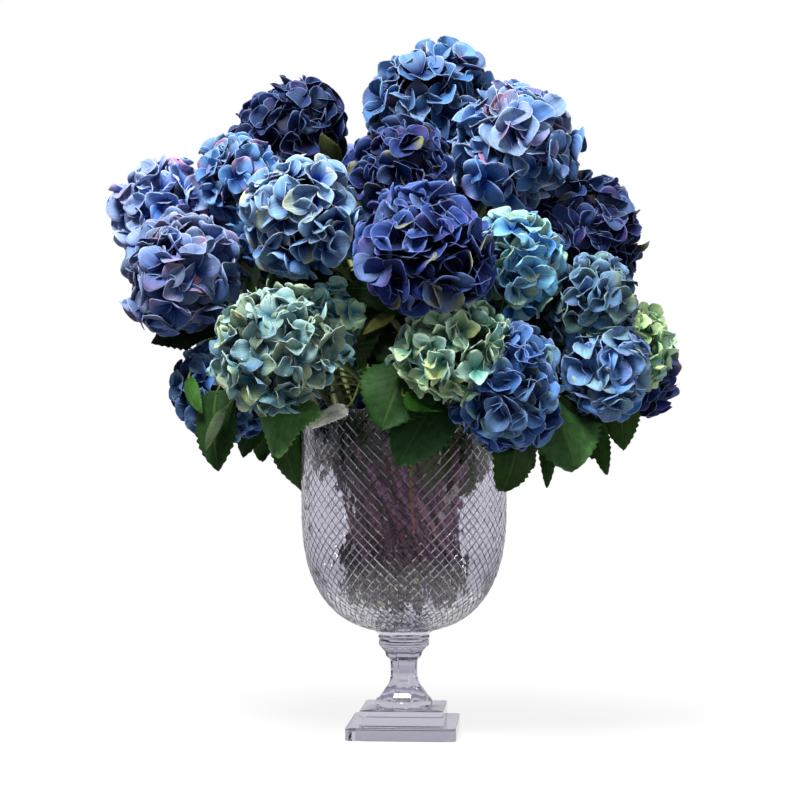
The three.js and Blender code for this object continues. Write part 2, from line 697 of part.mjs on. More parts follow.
const turns = stemTurns(HEADS);
HEADS.forEach((head, place) => {
  const path = stemPath(head, turns.get(head.name));
  const hasLeaf = LEAVES.some(({ stem }) => stem === head.name);
  const stemColour = hasLeaf ? LEAF_DARK : STEM_GREEN;
  hydrangeas.add(namedMesh(`head_${head.name}`, flowerHead(head, HEADS, 101 + place), head.colour, 0.8));
  hydrangeas.add(namedMesh(`stem_${head.name}`, leafyStem(head, path, HEADS, 501 + place), stemColour, 0.7));
});

export default hydrangeas;
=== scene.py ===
"""Hydrangeas in a footed cut-glass vase.

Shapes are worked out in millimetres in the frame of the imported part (+Z up, front towards -Y)
and turned to metres when a mesh is made.
"""

import logging
import math
from dataclasses import dataclass, field
from enum import Enum

import bpy
import numpy as np
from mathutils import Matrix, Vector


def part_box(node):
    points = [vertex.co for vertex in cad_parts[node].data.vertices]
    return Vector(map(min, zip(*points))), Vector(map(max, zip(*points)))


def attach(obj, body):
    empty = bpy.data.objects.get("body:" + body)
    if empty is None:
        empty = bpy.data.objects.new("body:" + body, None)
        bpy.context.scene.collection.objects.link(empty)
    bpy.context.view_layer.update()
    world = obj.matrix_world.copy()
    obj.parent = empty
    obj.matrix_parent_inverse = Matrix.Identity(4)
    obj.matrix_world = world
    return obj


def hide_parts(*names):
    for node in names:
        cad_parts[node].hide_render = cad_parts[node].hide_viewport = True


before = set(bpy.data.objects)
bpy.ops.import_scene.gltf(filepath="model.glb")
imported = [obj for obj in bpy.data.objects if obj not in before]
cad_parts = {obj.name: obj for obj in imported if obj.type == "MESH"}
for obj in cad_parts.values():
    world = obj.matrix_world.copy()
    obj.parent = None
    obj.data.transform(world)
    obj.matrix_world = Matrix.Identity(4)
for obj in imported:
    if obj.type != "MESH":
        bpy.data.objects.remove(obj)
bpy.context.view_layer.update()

Pair = tuple[float, float]
Triple = tuple[float, float, float]

MM = 0.001
BODY = "root"
TINT = "tint"
PLACE = "place"
GOLDEN_TURN = math.pi * (3 - math.sqrt(5))
PETALS = 4
WHITE = (1, 1, 1, 1)
NOISE_RANGE = (0.3, 0.7)
HEAD_SEED = 101
STEM_SEED = 501
LEAF_SEED = 701

log = logging.getLogger("hydrangeas")


def linear(code: str) -> np.ndarray:
    """Turns an sRGB hex colour to linear light.

    Args:
        code: Six hex digits after a hash sign.

    Returns:
        Red, green and blue from 0 to 1.
    """
    share = np.array([int(code[i : i + 2], 16) for i in (1, 3, 5)]) / 255
    return np.where(share <= 0.04045, share / 12.92, ((share + 0.055) / 1.055) ** 2.4)


def rgba(code: str) -> tuple[float, ...]:
    """Gives an sRGB hex colour as the four linear values of a colour socket."""
    return (*linear(code), 1.0)


def unit(vectors: np.ndarray) -> np.ndarray:
    """Scales vectors along the last axis to length 1."""
    return vectors / np.maximum(np.linalg.norm(vectors, axis=-1, keepdims=True), 1e-12)


def smooth_step(low: float, high: float, values: np.ndarray) -> np.ndarray:
    """Rises smoothly from 0 at low to 1 at high."""
    share = np.clip((values - low) / (high - low), 0, 1)
    return share * share * (3 - 2 * share)


def mixed(first: np.ndarray, second: np.ndarray, share: np.ndarray) -> np.ndarray:
    """Mixes two colours by a share that lacks their last axis."""
    weight = np.asarray(share)[..., None]
    return first * (1 - weight) + second * weight


def cross_axes(axis: np.ndarray) -> tuple[np.ndarray, np.ndarray]:
    """Finds two unit vectors at right angles to unit vectors and to each other.

    Args:
        axis: Unit vectors along the last axis.

    Returns:
        The first and second cross vectors, in the same shape.
    """
    upright = np.abs(axis[..., 2:3]) < 0.9
    helper = np.where(upright, np.array([0.0, 0.0, 1.0]), np.array([1.0, 0.0, 0.0]))
    first = unit(np.cross(helper, axis))
    return first, np.cross(axis, first)


def bezier(corners: list[np.ndarray], steps: int) -> np.ndarray:
    """Points on a cubic Bezier curve.

    Args:
        corners: The four control points.
        steps: How many stretches the curve is cut into.

    Returns:
        Steps + 1 points.
    """
    t = np.linspace(0, 1, steps + 1)[:, None]
    a, b, c, d = corners
    return (1 - t) ** 3 * a + 3 * (1 - t) ** 2 * t * b + 3 * (1 - t) * t**2 * c + t**3 * d


def sheet_grid(rows: int, columns: int) -> list[np.ndarray]:
    """Places along, from 0 to 1, and across, from -1 to 1, of each row and column of a sheet."""
    return np.meshgrid(np.linspace(0, 1, rows), np.linspace(-1, 1, columns), indexing="ij")


def polar(radius: float | np.ndarray, turn: float | np.ndarray, height: float | np.ndarray) -> np.ndarray:
    """Places points by their radii, turns round the vase's axis and heights."""
    radius, turn, height = np.broadcast_arrays(radius, turn, height)
    return np.stack([radius * np.cos(turn), radius * np.sin(turn), height], -1)


def outwards(point: np.ndarray) -> np.ndarray:
    """The level unit vector from the vase's axis through a point."""
    return unit(np.array([point[0], point[1], 0.0]))


def add_node(tree: bpy.types.NodeTree, kind: str, settings: dict | None = None,
             inputs: dict | None = None) -> bpy.types.Node:
    """Adds a node with its settings and links.

    Args:
        tree: The node tree.
        kind: The node's type without the leading ShaderNode.
        settings: Values of the node's own properties.
        inputs: Values, or outputs of other nodes to link, by the input's name or number.

    Returns:
        The new node.
    """
    node = tree.nodes.new("ShaderNode" + kind)
    for key, value in (settings or {}).items():
        setattr(node, key, value)
    for key, value in (inputs or {}).items():
        if isinstance(value, bpy.types.NodeSocket):
            tree.links.new(value, node.inputs[key])
        else:
            node.inputs[key].default_value = value
    return node


def placed(name: str, data: bpy.types.ID) -> bpy.types.Object:
    """Puts something into the scene.

    Args:
        name: Its name.
        data: Its mesh, camera or light.

    Returns:
        The object in the scene.
    """
    thing = bpy.data.objects.new(name, data)
    bpy.context.scene.collection.objects.link(thing)
    return thing


def new_material(name: str) -> tuple[bpy.types.Material, bpy.types.NodeTree]:
    """Makes an empty node material.

    Args:
        name: The material's name.

    Returns:
        The material and its node tree.
    """
    material = bpy.data.materials.new(name)
    material.use_nodes = True
    material.node_tree.nodes.clear()
    return material, material.node_tree


@dataclass
class Skin:
    """A closed stretch of surface, in millimetres, with what its finish reads.

    Attributes:
        points: One row a point.
        faces: Arrays of faces, each with its own number of corners.
        smooth: Whether each of those arrays is shaded smooth.
        finishes: Which of the piece's materials each of those arrays has.
        tints: Linear colour of each point.
        places: Three numbers of each point of a sheet: along it, across it and the sheet's own draw.
    """

    points: np.ndarray
    faces: list[np.ndarray]
    smooth: list[bool]
    finishes: list[int]
    tints: np.ndarray | None = None
    places: np.ndarray | None = None


def copies(part: np.ndarray, count: int, points: int) -> np.ndarray:
    """Repeats the faces of one shape for count shapes of so many points each."""
    return ((np.arange(count) * points)[:, None, None] + part).reshape(-1, part.shape[-1])


def walls(lower: np.ndarray, upper: np.ndarray) -> np.ndarray:
    """Joins rings of point numbers to the rings above them with four-cornered faces."""
    return np.stack([lower, np.roll(lower, -1, -1), np.roll(upper, -1, -1), upper], -1).reshape(-1, 4)


def ring_faces(rings: int, sides: int) -> tuple[np.ndarray, np.ndarray]:
    """Faces of a closed stack of rings: its walls, then its two ends."""
    grid = np.arange(rings * sides).reshape(rings, sides)
    return walls(grid[:-1], grid[1:]), np.stack([grid[0, ::-1], grid[-1]])


def sheet_faces(sheets: int, rows: int, columns: int) -> list[np.ndarray]:
    """Faces of closed thin sheets whose points are stored as upper grid, then lower grid.

    Args:
        sheets: How many sheets.
        rows: Points along a sheet.
        columns: Points across a sheet.

    Returns:
        The faces of both sides, then those of the rims.
    """
    size = rows * columns
    grid = np.arange(size).reshape(rows, columns)
    upper = np.stack([grid[:-1, :-1], grid[1:, :-1], grid[1:, 1:], grid[:-1, 1:]], -1).reshape(-1, 4)
    edge = np.concatenate([grid[:-1, 0], grid[-1, :-1], grid[:0:-1, -1], grid[0, :0:-1]])
    after = np.roll(edge, -1)
    rim = np.stack([after, edge, edge + size, after + size], -1)
    sides = np.concatenate([upper, upper[:, ::-1] + size])
    return [copies(part, sheets, 2 * size) for part in (sides, rim)]


def closed_sheets(middle: np.ndarray, thickness: float, tints: np.ndarray, places: np.ndarray,
                  finish: int = 0) -> Skin:
    """Thickens middle surfaces to closed thin sheets.

    Args:
        middle: Points as sheet, row, column, coordinate.
        thickness: Thickness in millimetres.
        tints: Colours in the same layout.
        places: Finish coordinates in the same layout.
        finish: Which of the piece's materials they have.

    Returns:
        One skin with all the sheets.
    """
    sheets, rows, columns, _ = middle.shape
    normal = unit(np.cross(np.gradient(middle, axis=1), np.gradient(middle, axis=2)))
    both = np.stack([middle + normal * thickness / 2, middle - normal * thickness / 2], axis=1)
    tints, places = (np.repeat(values[:, None], 2, axis=1).reshape(-1, 3) for values in (tints, places))
    return Skin(both.reshape(-1, 3), sheet_faces(sheets, rows, columns), [True, False], [finish] * 2,
                tints, places)


def closed_tubes(paths: np.ndarray, radii: np.ndarray, sides: int, tints: np.ndarray,
                 finish: int = 0) -> Skin:
    """Tubes with closed ends round centrelines.

    Args:
        paths: Points as tube, step, coordinate.
        radii: Radius at each step of each tube.
        sides: Sides of the section.
        tints: Colour at each step of each tube.
        finish: Which of the piece's materials they have.

    Returns:
        One skin with all the tubes.
    """
    tubes, steps, _ = paths.shape
    along = unit(np.gradient(paths, axis=1))
    across = cross_axes(along[:, 0])[0]
    turns = 2 * np.pi * np.arange(sides) / sides
    rings = []
    for step in range(steps):
        across = unit(across - along[:, step] * np.sum(across * along[:, step], -1, keepdims=True))
        side = np.cross(along[:, step], across)
        spread = across[:, None] * np.cos(turns)[:, None] + side[:, None] * np.sin(turns)[:, None]
        rings.append(paths[:, step, None] + spread * radii[:, step, None, None])
    faces = [copies(part, tubes, steps * sides) for part in ring_faces(steps, sides)]
    tints = np.repeat(tints[:, :, None], sides, axis=2).reshape(-1, 3)
    return Skin(np.stack(rings, axis=1).reshape(-1, 3), faces, [True, False], [finish] * 2, tints)


def lathed_skin(rings: np.ndarray) -> Skin:
    """A flat-shaded closed skin over rings that go from the underside up, each counter-clockwise."""
    return Skin(rings.reshape(-1, 3), list(ring_faces(*rings.shape[:2])), [False] * 2, [0] * 2)


def build_piece(name: str, skins: list[Skin], materials: list[bpy.types.Material],
                slot: str, *nodes: str) -> None:
    """Makes one piece of the object out of its skins and lets it ride on the body.

    Args:
        name: The piece's name.
        skins: Its closed surfaces.
        materials: Its materials, in the order that the skins number them in.
        slot: The record's material slot; not used.
        nodes: The CAD nodes that it stands for.
    """
    starts = np.cumsum([0] + [len(skin.points) for skin in skins])
    groups = [(faces + start, smooth, finish) for start, skin in zip(starts, skins)
              for faces, smooth, finish in zip(skin.faces, skin.smooth, skin.finishes)]
    corners = np.concatenate([faces.ravel() for faces, _, _ in groups])
    sizes, smooth, finishes = (
        np.concatenate([np.full(len(group[0]), value(group)) for group in groups])
        for value in (lambda group: group[0].shape[1], lambda group: group[1], lambda group: group[2]))
    points = np.concatenate([skin.points for skin in skins])

    mesh = bpy.data.meshes.new(name)
    mesh.vertices.add(len(points))
    mesh.loops.add(len(corners))
    mesh.polygons.add(len(sizes))
    mesh.vertices.foreach_set("co", (points * MM).astype(np.float32).ravel())
    for rows, key, values in (
            (mesh.loops, "vertex_index", corners), (mesh.polygons, "loop_start", np.cumsum(sizes) - sizes),
            (mesh.polygons, "material_index", finishes), (mesh.polygons, "use_smooth", smooth)):
        rows.foreach_set(key, values.astype(np.int32))
    mesh.update(calc_edges=True)
    if skins[0].tints is not None:
        tints = np.concatenate([skin.tints for skin in skins])
        opaque = np.concatenate([tints, np.ones((len(tints), 1))], axis=1)
        colour = mesh.color_attributes.new(TINT, "FLOAT_COLOR", "POINT")
        colour.data.foreach_set("color", opaque.astype(np.float32).ravel())
        places = np.concatenate([np.zeros(skin.points.shape) if skin.places is None else skin.places
                                 for skin in skins])
        place = mesh.attributes.new(PLACE, "FLOAT_VECTOR", "POINT")
        place.data.foreach_set("vector", places.astype(np.float32).ravel())
    for material in materials:
        mesh.materials.append(material)
    piece = placed(name, mesh)
    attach(piece, BODY)
    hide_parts(*nodes)
    log.info("%s: %d triangles", name, int(np.sum(sizes - 2)))


def sheet_place(tree: bpy.types.NodeTree) -> tuple[bpy.types.NodeSocket, ...]:
    """Reads where on its sheet a point is.

    Args:
        tree: The material's node tree.

    Returns:
        The place along the sheet, across it, the sheet's draw, and how far aside of its middle.
    """
    place = add_node(tree, "Attribute", {"attribute_name": PLACE})
    parts = add_node(tree, "SeparateXYZ", {}, {0: place.outputs["Vector"]})
    aside = add_node(tree, "Math", {"operation": "ABSOLUTE"}, {0: parts.outputs[1]})
    return *parts.outputs, aside.outputs[0]


def grained_dye(tree: bpy.types.NodeTree, grain: dict,
                swing: float) -> tuple[bpy.types.NodeSocket, bpy.types.NodeSocket]:
    """Lightens and darkens the dye of a piece with the grain of its stuff.

    Args:
        tree: The material's node tree.
        grain: Inputs of the grain's noise.
        swing: How far the dye goes up and down.

    Returns:
        The grain and the dye with it.
    """
    dye = add_node(tree, "Attribute", {"attribute_name": TINT})
    noise = add_node(tree, "TexNoise", {}, grain)
    low, high = NOISE_RANGE
    light = add_node(tree, "MapRange", {}, {
        "Value": noise.outputs["Fac"], "From Min": low, "From Max": high,
        "To Min": 1 - swing, "To Max": 1 + swing})
    toned = add_node(tree, "VectorMath", {"operation": "SCALE"}, {
        0: dye.outputs["Color"], "Scale": light.outputs[0]})
    return noise.outputs["Fac"], toned.outputs[0]


class Finish:
    """A finish of the object, which makes materials of itself."""

    def surface(self, tree: bpy.types.NodeTree) -> dict:
        """Adds the finish's own nodes and gives the shader's inputs."""
        raise NotImplementedError

    def material(self, name: str) -> bpy.types.Material:
        """Makes a material of the finish.

        Args:
            name: The material's name.

        Returns:
            The material.
        """
        material, tree = new_material(name)
        shader = add_node(tree, "BsdfPrincipled", {}, self.surface(tree))
        add_node(tree, "OutputMaterial", {}, {"Surface": shader.outputs["BSDF"]})
        return material


@dataclass(frozen=True)
class LeadCrystal(Finish):
    """Cast and wheel-cut crystal, polished, which gives clear facets with a faint lilac-grey cast.

    Attributes:
        ripple_mm: Width of the faint ripples of the polish.
        ripple_depth: Strength of those ripples.
    """

    colour: str = "#f8f7fc"
    ior: float = 1.52
    roughness: float = 0.015
    ripple_mm: float = 18.0
    ripple_depth: float = 0.04

    def surface(self, tree: bpy.types.NodeTree) -> dict:
        """Ripples the glass.

        Args:
            tree: The material's node tree.

        Returns:
            The shader's inputs.
        """
        place = add_node(tree, "TexCoord")
        ripple = add_node(tree, "TexNoise", {}, {
            "Vector": place.outputs["Object"], "Scale": 1 / (self.ripple_mm * MM), "Detail": 1.0})
        bump = add_node(tree, "Bump", {}, {
            "Strength": self.ripple_depth, "Distance": MM, "Height": ripple.outputs["Fac"]})
        return {"Base Color": rgba(self.colour), "Roughness": self.roughness, "IOR": self.ior,
                "Transmission Weight": 1.0, "Normal": bump.outputs["Normal"]}


@dataclass(frozen=True)
class PressedPetal(Finish):
    """Woven polyester petals, dyed and heat-pressed, which gives a matt cloth with soft creases.

    Attributes:
        rim: Colour of the pale cut edge and outer thread, which also stands in as a painted highlight along
            the edge.
        rim_and_highlight_share: How far the edge turns to that colour.
        rim_start: Where the edge starts, from 0 at the middle to 1 at the cut.
        crease_rows: Creases across one petal.
        crease_steps: How often they change along one petal, and from petal to petal.
        streak: How far the creases lighten and darken the dye.
    """

    rim: str
    rim_and_highlight_share: float = 0.4
    rim_start: float = 0.92
    crease_rows: float = 7.0
    crease_steps: Pair = (1.3, 61.0)
    crease_depth_mm: float = 0.7
    crease_strength: float = 0.55
    streak: float = 0.28
    roughness: float = 0.6
    gloss: float = 0.15

    def surface(self, tree: bpy.types.NodeTree) -> dict:
        """Creases the cloth and lightens its edge, partly as a painted highlight.

        Args:
            tree: The material's node tree.

        Returns:
            The shader's inputs.
        """
        along, across, draw, aside = sheet_place(tree)
        border = add_node(tree, "Math", {"operation": "MAXIMUM"}, {0: aside, 1: along})

        # Creases fan out from the throat, so their noise is stretched along the petal
        fan = add_node(tree, "CombineXYZ", {}, {"X": along, "Y": across, "Z": draw})
        spread = add_node(tree, "VectorMath", {"operation": "MULTIPLY"}, {
            0: fan.outputs[0], 1: (self.crease_steps[0], self.crease_rows, self.crease_steps[1])})
        creases, streaked = grained_dye(tree, {
            "Vector": spread.outputs[0], "Scale": 1.0, "Detail": 3.0, "Roughness": 0.6}, self.streak)
        # The pale edge is partly the cut edge's own colour and partly a painted highlight
        edge = add_node(tree, "MapRange", {"interpolation_type": "SMOOTHSTEP"}, {
            "Value": border.outputs[0], "From Min": self.rim_start, "From Max": 1.0,
            "To Min": 0.0, "To Max": self.rim_and_highlight_share})
        colour = add_node(tree, "Mix", {"data_type": "RGBA"}, {
            "Factor": edge.outputs[0], 6: streaked, 7: rgba(self.rim)})
        bump = add_node(tree, "Bump", {}, {
            "Strength": self.crease_strength, "Distance": self.crease_depth_mm * MM, "Height": creases})
        return {"Base Color": colour.outputs[2], "Roughness": self.roughness,
                "Specular IOR Level": self.gloss, "Normal": bump.outputs["Normal"]}


@dataclass(frozen=True)
class WaxedLeaf(Finish):
    """Coated cloth leaves with printed and pressed veins, which gives a soft gloss on dark green.

    Attributes:
        vein: Colour of the veins.
        vein_share: How far they turn to that colour.
        vein_pairs: Side veins on each half of the blade.
        vein_slant: How far a side vein runs up the blade on its way to the edge.
        vein_width: Share of the room between two side veins that one takes.
        midrib: Where the midrib starts and stops to fade, as shares of half the blade.
    """

    vein: str = "#5c7c3c"
    vein_share: float = 0.3
    vein_pairs: float = 7.0
    vein_slant: float = 0.42
    vein_width: float = 0.12
    midrib: Pair = (0.02, 0.07)
    press_depth_mm: float = 0.8
    press_strength: float = 0.7
    mottle_mm: float = 9.0
    mottle: float = 0.3
    roughness: float = 0.62
    gloss: float = 0.16

    def surface(self, tree: bpy.types.NodeTree) -> dict:
        """Mottles the blade and draws its veins.

        Args:
            tree: The material's node tree.

        Returns:
            The shader's inputs.
        """
        along, _, _, aside = sheet_place(tree)

        # Side veins leave the midrib at a slant, evenly spaced
        half_gap = 0.5 / self.vein_pairs
        slant = add_node(tree, "Math", {"operation": "MULTIPLY"}, {0: aside, 1: self.vein_slant})
        shifted = add_node(tree, "Math", {"operation": "SUBTRACT"}, {0: along, 1: slant.outputs[0]})
        wave = add_node(tree, "Math", {"operation": "PINGPONG"}, {0: shifted.outputs[0], 1: half_gap})
        side, rib = (add_node(tree, "MapRange", {}, {
            "Value": value, "From Min": low, "From Max": high, "To Min": 1.0, "To Max": 0.0})
            for value, low, high in ((wave.outputs[0], 0.0, self.vein_width * half_gap),
                                     (aside, *self.midrib)))
        veins = add_node(tree, "Math", {"operation": "MAXIMUM"}, {0: side.outputs[0], 1: rib.outputs[0]})

        where = add_node(tree, "TexCoord")
        grain = {"Vector": where.outputs["Object"], "Scale": 1 / (self.mottle_mm * MM), "Detail": 3.0}
        mottle, toned = grained_dye(tree, grain, self.mottle)
        weak = add_node(tree, "Math", {"operation": "MULTIPLY"}, {0: veins.outputs[0], 1: self.vein_share})
        colour = add_node(tree, "Mix", {"data_type": "RGBA"}, {
            "Factor": weak.outputs[0], 6: toned, 7: rgba(self.vein)})
        height = add_node(tree, "Math", {"operation": "SUBTRACT"}, {0: mottle, 1: veins.outputs[0]})
        bump = add_node(tree, "Bump", {}, {
            "Strength": self.press_strength, "Distance": self.press_depth_mm * MM,
            "Height": height.outputs[0]})
        return {"Base Color": colour.outputs[2], "Roughness": self.roughness,
                "Specular IOR Level": self.gloss, "Normal": bump.outputs["Normal"]}


@dataclass(frozen=True)
class WrappedStem(Finish):
    """Moulded plastic stems round a wire, which gives a satin bark-like skin with fine streaks.

    Attributes:
        streak_mm: Width of a streak.
        streak_squeeze: That width against the streak's length.
        streak: How far the streaks lighten and darken the dye.
    """

    streak_mm: float = 2.2
    streak_squeeze: float = 0.22
    streak: float = 0.4
    streak_depth_mm: float = 0.4
    streak_strength: float = 0.5
    roughness: float = 0.5

    def surface(self, tree: bpy.types.NodeTree) -> dict:
        """Streaks the skin upwards.

        Args:
            tree: The material's node tree.

        Returns:
            The shader's inputs.
        """
        where = add_node(tree, "TexCoord")
        stretched = add_node(tree, "VectorMath", {"operation": "MULTIPLY"}, {
            0: where.outputs["Object"], 1: (1.0, 1.0, self.streak_squeeze)})
        streaks, colour = grained_dye(tree, {
            "Vector": stretched.outputs[0], "Scale": 1 / (self.streak_mm * MM), "Detail": 2.0}, self.streak)
        bump = add_node(tree, "Bump", {}, {
            "Strength": self.streak_strength, "Distance": self.streak_depth_mm * MM, "Height": streaks})
        return {"Base Color": colour, "Roughness": self.roughness, "Normal": bump.outputs["Normal"]}


@dataclass(frozen=True)
class Palette:
    """Dyes of one kind of petal, as sRGB hex, from the throat to the edge."""

    deep: str
    body: str
    tip: str
    # The rim is partly the pale cut edge and partly a painted highlight
    rim: str
    blush: str
    blush_share: float
    odd: str
    odd_share: float
    accent: str
    accent_share: float


class Tint(Enum):
    """The dyes that the blooms come in."""

    NAVY = Palette("#050c38", "#12206a", "#3c5698", "#92ace0",
                   "#4c2e74", 0.25, "#6c88be", 0.16, "#a4a24c", 0.1)
    DENIM = Palette("#0c3480", "#2a6cb8", "#72a4dc", "#d8e6f8",
                    "#7a7ab4", 0.16, "#86aad4", 0.25, "#b06480", 0.07)
    SKY = Palette("#144eb4", "#4486da", "#8cb8f2", "#f0f6fe",
                  "#9a8ad0", 0.2, "#a4bee4", 0.3, "#c87890", 0.09)
    PALE = Palette("#0a3a9c", "#4880c8", "#98c0e0", "#f6fbfd",
                   "#b8c494", 0.14, "#84a6cc", 0.35, "#dcdc9c", 0.09)
    LILAC = Palette("#1444a4", "#447acc", "#9eb4e2", "#dbe6f8",
                    "#a682b4", 0.2, "#90a0c4", 0.35, "#b86078", 0.1)
    AQUA = Palette("#247092", "#70aab8", "#b0d4ca", "#ebf7ea",
                   "#4484c8", 0.12, "#9aae7c", 0.3, "#d2d68c", 0.1)
    SAGE = Palette("#448a80", "#82b0a2", "#b8d8bc", "#f1f6dc",
                   "#5c98b8", 0.25, "#a4ba80", 0.25, "#d6da7c", 0.08)
    TEAL = Palette("#0e5498", "#3e8abc", "#84b8c6", "#dceeee",
                   "#2870c4", 0.26, "#8ca46c", 0.32, "#bcc26c", 0.1)
    CORNFLOWER = Palette("#0a3078", "#245ca8", "#608cc6", "#b6cbee",
                         "#5870b0", 0.2, "#6c94bc", 0.25, "#74a488", 0.08)
    SLATE = Palette("#10345c", "#34648e", "#7098b8", "#b4c6de",
                    "#5464a4", 0.2, "#74947c", 0.38, "#9ca46c", 0.1)
    HAZE = Palette("#0c3e84", "#3474b4", "#80a8dc", "#d4e0f6",
                   "#7480c0", 0.2, "#84acb0", 0.3, "#a8b880", 0.08)
    LIME = Palette("#4c8c70", "#82a688", "#aecaa0", "#eaf2d4",
                   "#6098b4", 0.16, "#98b078", 0.25, "#c4cc84", 0.08)


@dataclass(frozen=True)
class PetalCut:
    """The cut and pressing of a petal, as shares of the bloom's radius or of the petal's own length."""

    florets: int
    length: float
    width: float
    point: float
    cup: float
    wave: float
    rise: float


class Cut(Enum):
    """The petal shapes that the blooms come in."""

    ROUND = PetalCut(60, 0.44, 0.98, 0.0, 0.17, 0.05, 0.46)
    BROAD = PetalCut(50, 0.5, 0.94, 0.02, 0.14, 0.07, 0.44)
    WAVY = PetalCut(66, 0.38, 0.88, 0.05, 0.14, 0.09, 0.44)
    SMALL = PetalCut(40, 0.5, 0.92, 0.02, 0.15, 0.06, 0.44)


@dataclass(frozen=True)
class Bloom:
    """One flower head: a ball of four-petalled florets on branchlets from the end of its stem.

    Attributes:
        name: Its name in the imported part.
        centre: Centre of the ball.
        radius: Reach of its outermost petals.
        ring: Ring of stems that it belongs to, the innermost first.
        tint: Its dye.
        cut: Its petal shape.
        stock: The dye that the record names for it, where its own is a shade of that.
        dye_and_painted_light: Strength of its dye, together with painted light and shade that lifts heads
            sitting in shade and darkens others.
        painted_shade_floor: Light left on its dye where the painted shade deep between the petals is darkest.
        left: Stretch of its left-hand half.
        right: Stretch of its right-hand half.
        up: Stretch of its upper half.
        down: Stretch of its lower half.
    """

    name: str
    centre: Triple
    radius: float
    ring: int
    tint: Tint
    cut: Cut = Cut.ROUND
    stock: Tint | None = None
    dye_and_painted_light: float = 1.0
    painted_shade_floor: float = 0.05
    left: float = 1.0
    right: float = 1.0
    up: float = 1.0
    down: float = 1.0

    heart_share: float = 0.45
    heart_height: float = 275
    spread: float = 1.76
    straying: float = 0.05
    seats: Pair = (0.5, 0.76)
    seat_odds: Pair = (2, 1.4)
    tilt: float = 0.36
    nodding_share: float = 0.4
    nodding_tilt: float = 0.85
    lump: float = 0.2
    lump_waves: int = 4
    lump_rate: float = 3.1
    soft_start: float = 0.94
    soft_reach: float = 0.2
    press_range: float = 1.06
    press_depth: float = 10.0
    eye_radius: float = 2.1
    boss_depth: float = 0.6
    butt_gap: float = 0.3
    stalk_bow: Pair = (0.2, 0.35)
    stalk_radii: Pair = (1.6, 0.8)
    stalk_points: int = 3
    stalk_sides: int = 3
    stalk_colour: str = "#5a6a3c"

    # A petal, as shares of its length, and how far one differs from the next
    petal_rows: int = 6
    petal_columns: int = 5
    petal_thickness: float = 0.5
    claw: float = 0.16
    claw_power: float = 1.15
    claw_reach: float = 1.2
    widest: float = 0.56
    end_reach: float = 0.53
    shoulder: float = 0.13
    floret_sizes: Pair = (0.84, 1.1)
    lengths: Pair = (0.9, 1.08)
    widths: Pair = (0.88, 1.12)
    rise_spread: Pair = (0.24, 0.18)
    curl: Pair = (-0.15, 0.5)
    least_curl: float = 0.05
    cup_spread: float = 0.13
    side_ruffle: Pair = (5.2, 1.3)
    end_ruffle: float = 9.4
    end_ruffle_share: float = 0.5
    twist: float = 0.2
    overlap: float = 0.9
    turn_spread: float = 0.09

    # The dye: what its fade comes from, where each colour starts and is full, and where the painted shade
    # deep in the head ends
    fade_odds: Pair = (2, 3)
    fade_floret: float = 0.6
    fade_petal: float = 0.3
    fade_least: float = 0.12
    fade_up: float = 0.22
    throat: Pair = (0.1, 0.72)
    end: Pair = (0.55, 1.0)
    end_strength: float = 0.55
    odd_strength: float = 0.75
    blush: Pair = (0.35, 1.0)
    blush_strengths: Pair = (0.35, 0.9)
    accent: Pair = (0.5, 1.25)
    accent_side: float = 0.6
    accent_strengths: Pair = (0.5, 0.9)
    painted_shade_fade: Pair = (0.5, 0.95)
    tones: Pair = (0.7, 1.2)

    @property
    def middle(self) -> np.ndarray:
        """The centre as an array."""
        return np.array(self.centre, float)

    @property
    def axis(self) -> np.ndarray:
        """The way the head faces: away from a point below it inside the bunch."""
        return unit(self.middle - (self.heart_share * self.middle + np.array([0, 0, self.heart_height])))

    @property
    def root(self) -> np.ndarray:
        """The end of its stem."""
        return self.middle - self.axis * (self.boss_depth * self.radius + self.butt_gap)

    def stretch(self, away: np.ndarray) -> np.ndarray:
        """Gives the stretch along each axis.

        Args:
            away: Points seen from the centre.

        Returns:
            Three factors for each point.
        """
        aside = np.where(away[..., 0] > 0, self.right, self.left)
        upright = np.where(away[..., 2] > 0, self.up, self.down)
        return np.stack([aside, np.ones(aside.shape), upright], -1)

    def press_planes(self, blooms: list["Bloom"]) -> list[tuple[np.ndarray, float]]:
        """Finds the planes where the head presses against its neighbours.

        Args:
            blooms: Every head of the bunch.

        Returns:
            Unit normals and their distances from the centre.
        """
        planes = []
        for other in blooms:
            apart = other.middle - self.middle
            distance = np.linalg.norm(apart)
            if other is self or distance > self.press_range * (self.radius + other.radius):
                continue
            offset = (distance**2 + self.radius**2 - other.radius**2) / (2 * distance)
            planes.append((apart / distance, offset))
        return planes

    def pressed(self, points: np.ndarray, planes: list[tuple[np.ndarray, float]]) -> np.ndarray:
        """Bends points inside the head's ball and off its neighbours.

        Args:
            points: Points in the part's frame.
            planes: The head's press planes.

        Returns:
            The bent points.
        """
        away = points - self.middle
        stretch = self.stretch(away)
        reach = np.linalg.norm(away / stretch, axis=-1, keepdims=True) / self.radius
        over = np.maximum(reach - self.soft_start, 0)
        kept = np.minimum(reach, self.soft_start) + self.soft_reach * np.tanh(over / self.soft_reach)
        away = away * kept / np.maximum(reach, 1e-9)
        for normal, offset in planes:
            along = away @ normal
            past = np.maximum(along - offset + self.press_depth, 0)
            slack = 2 * self.press_depth
            away = away + ((slack * np.tanh(past / slack)) - past)[..., None] * normal
        return self.middle + away

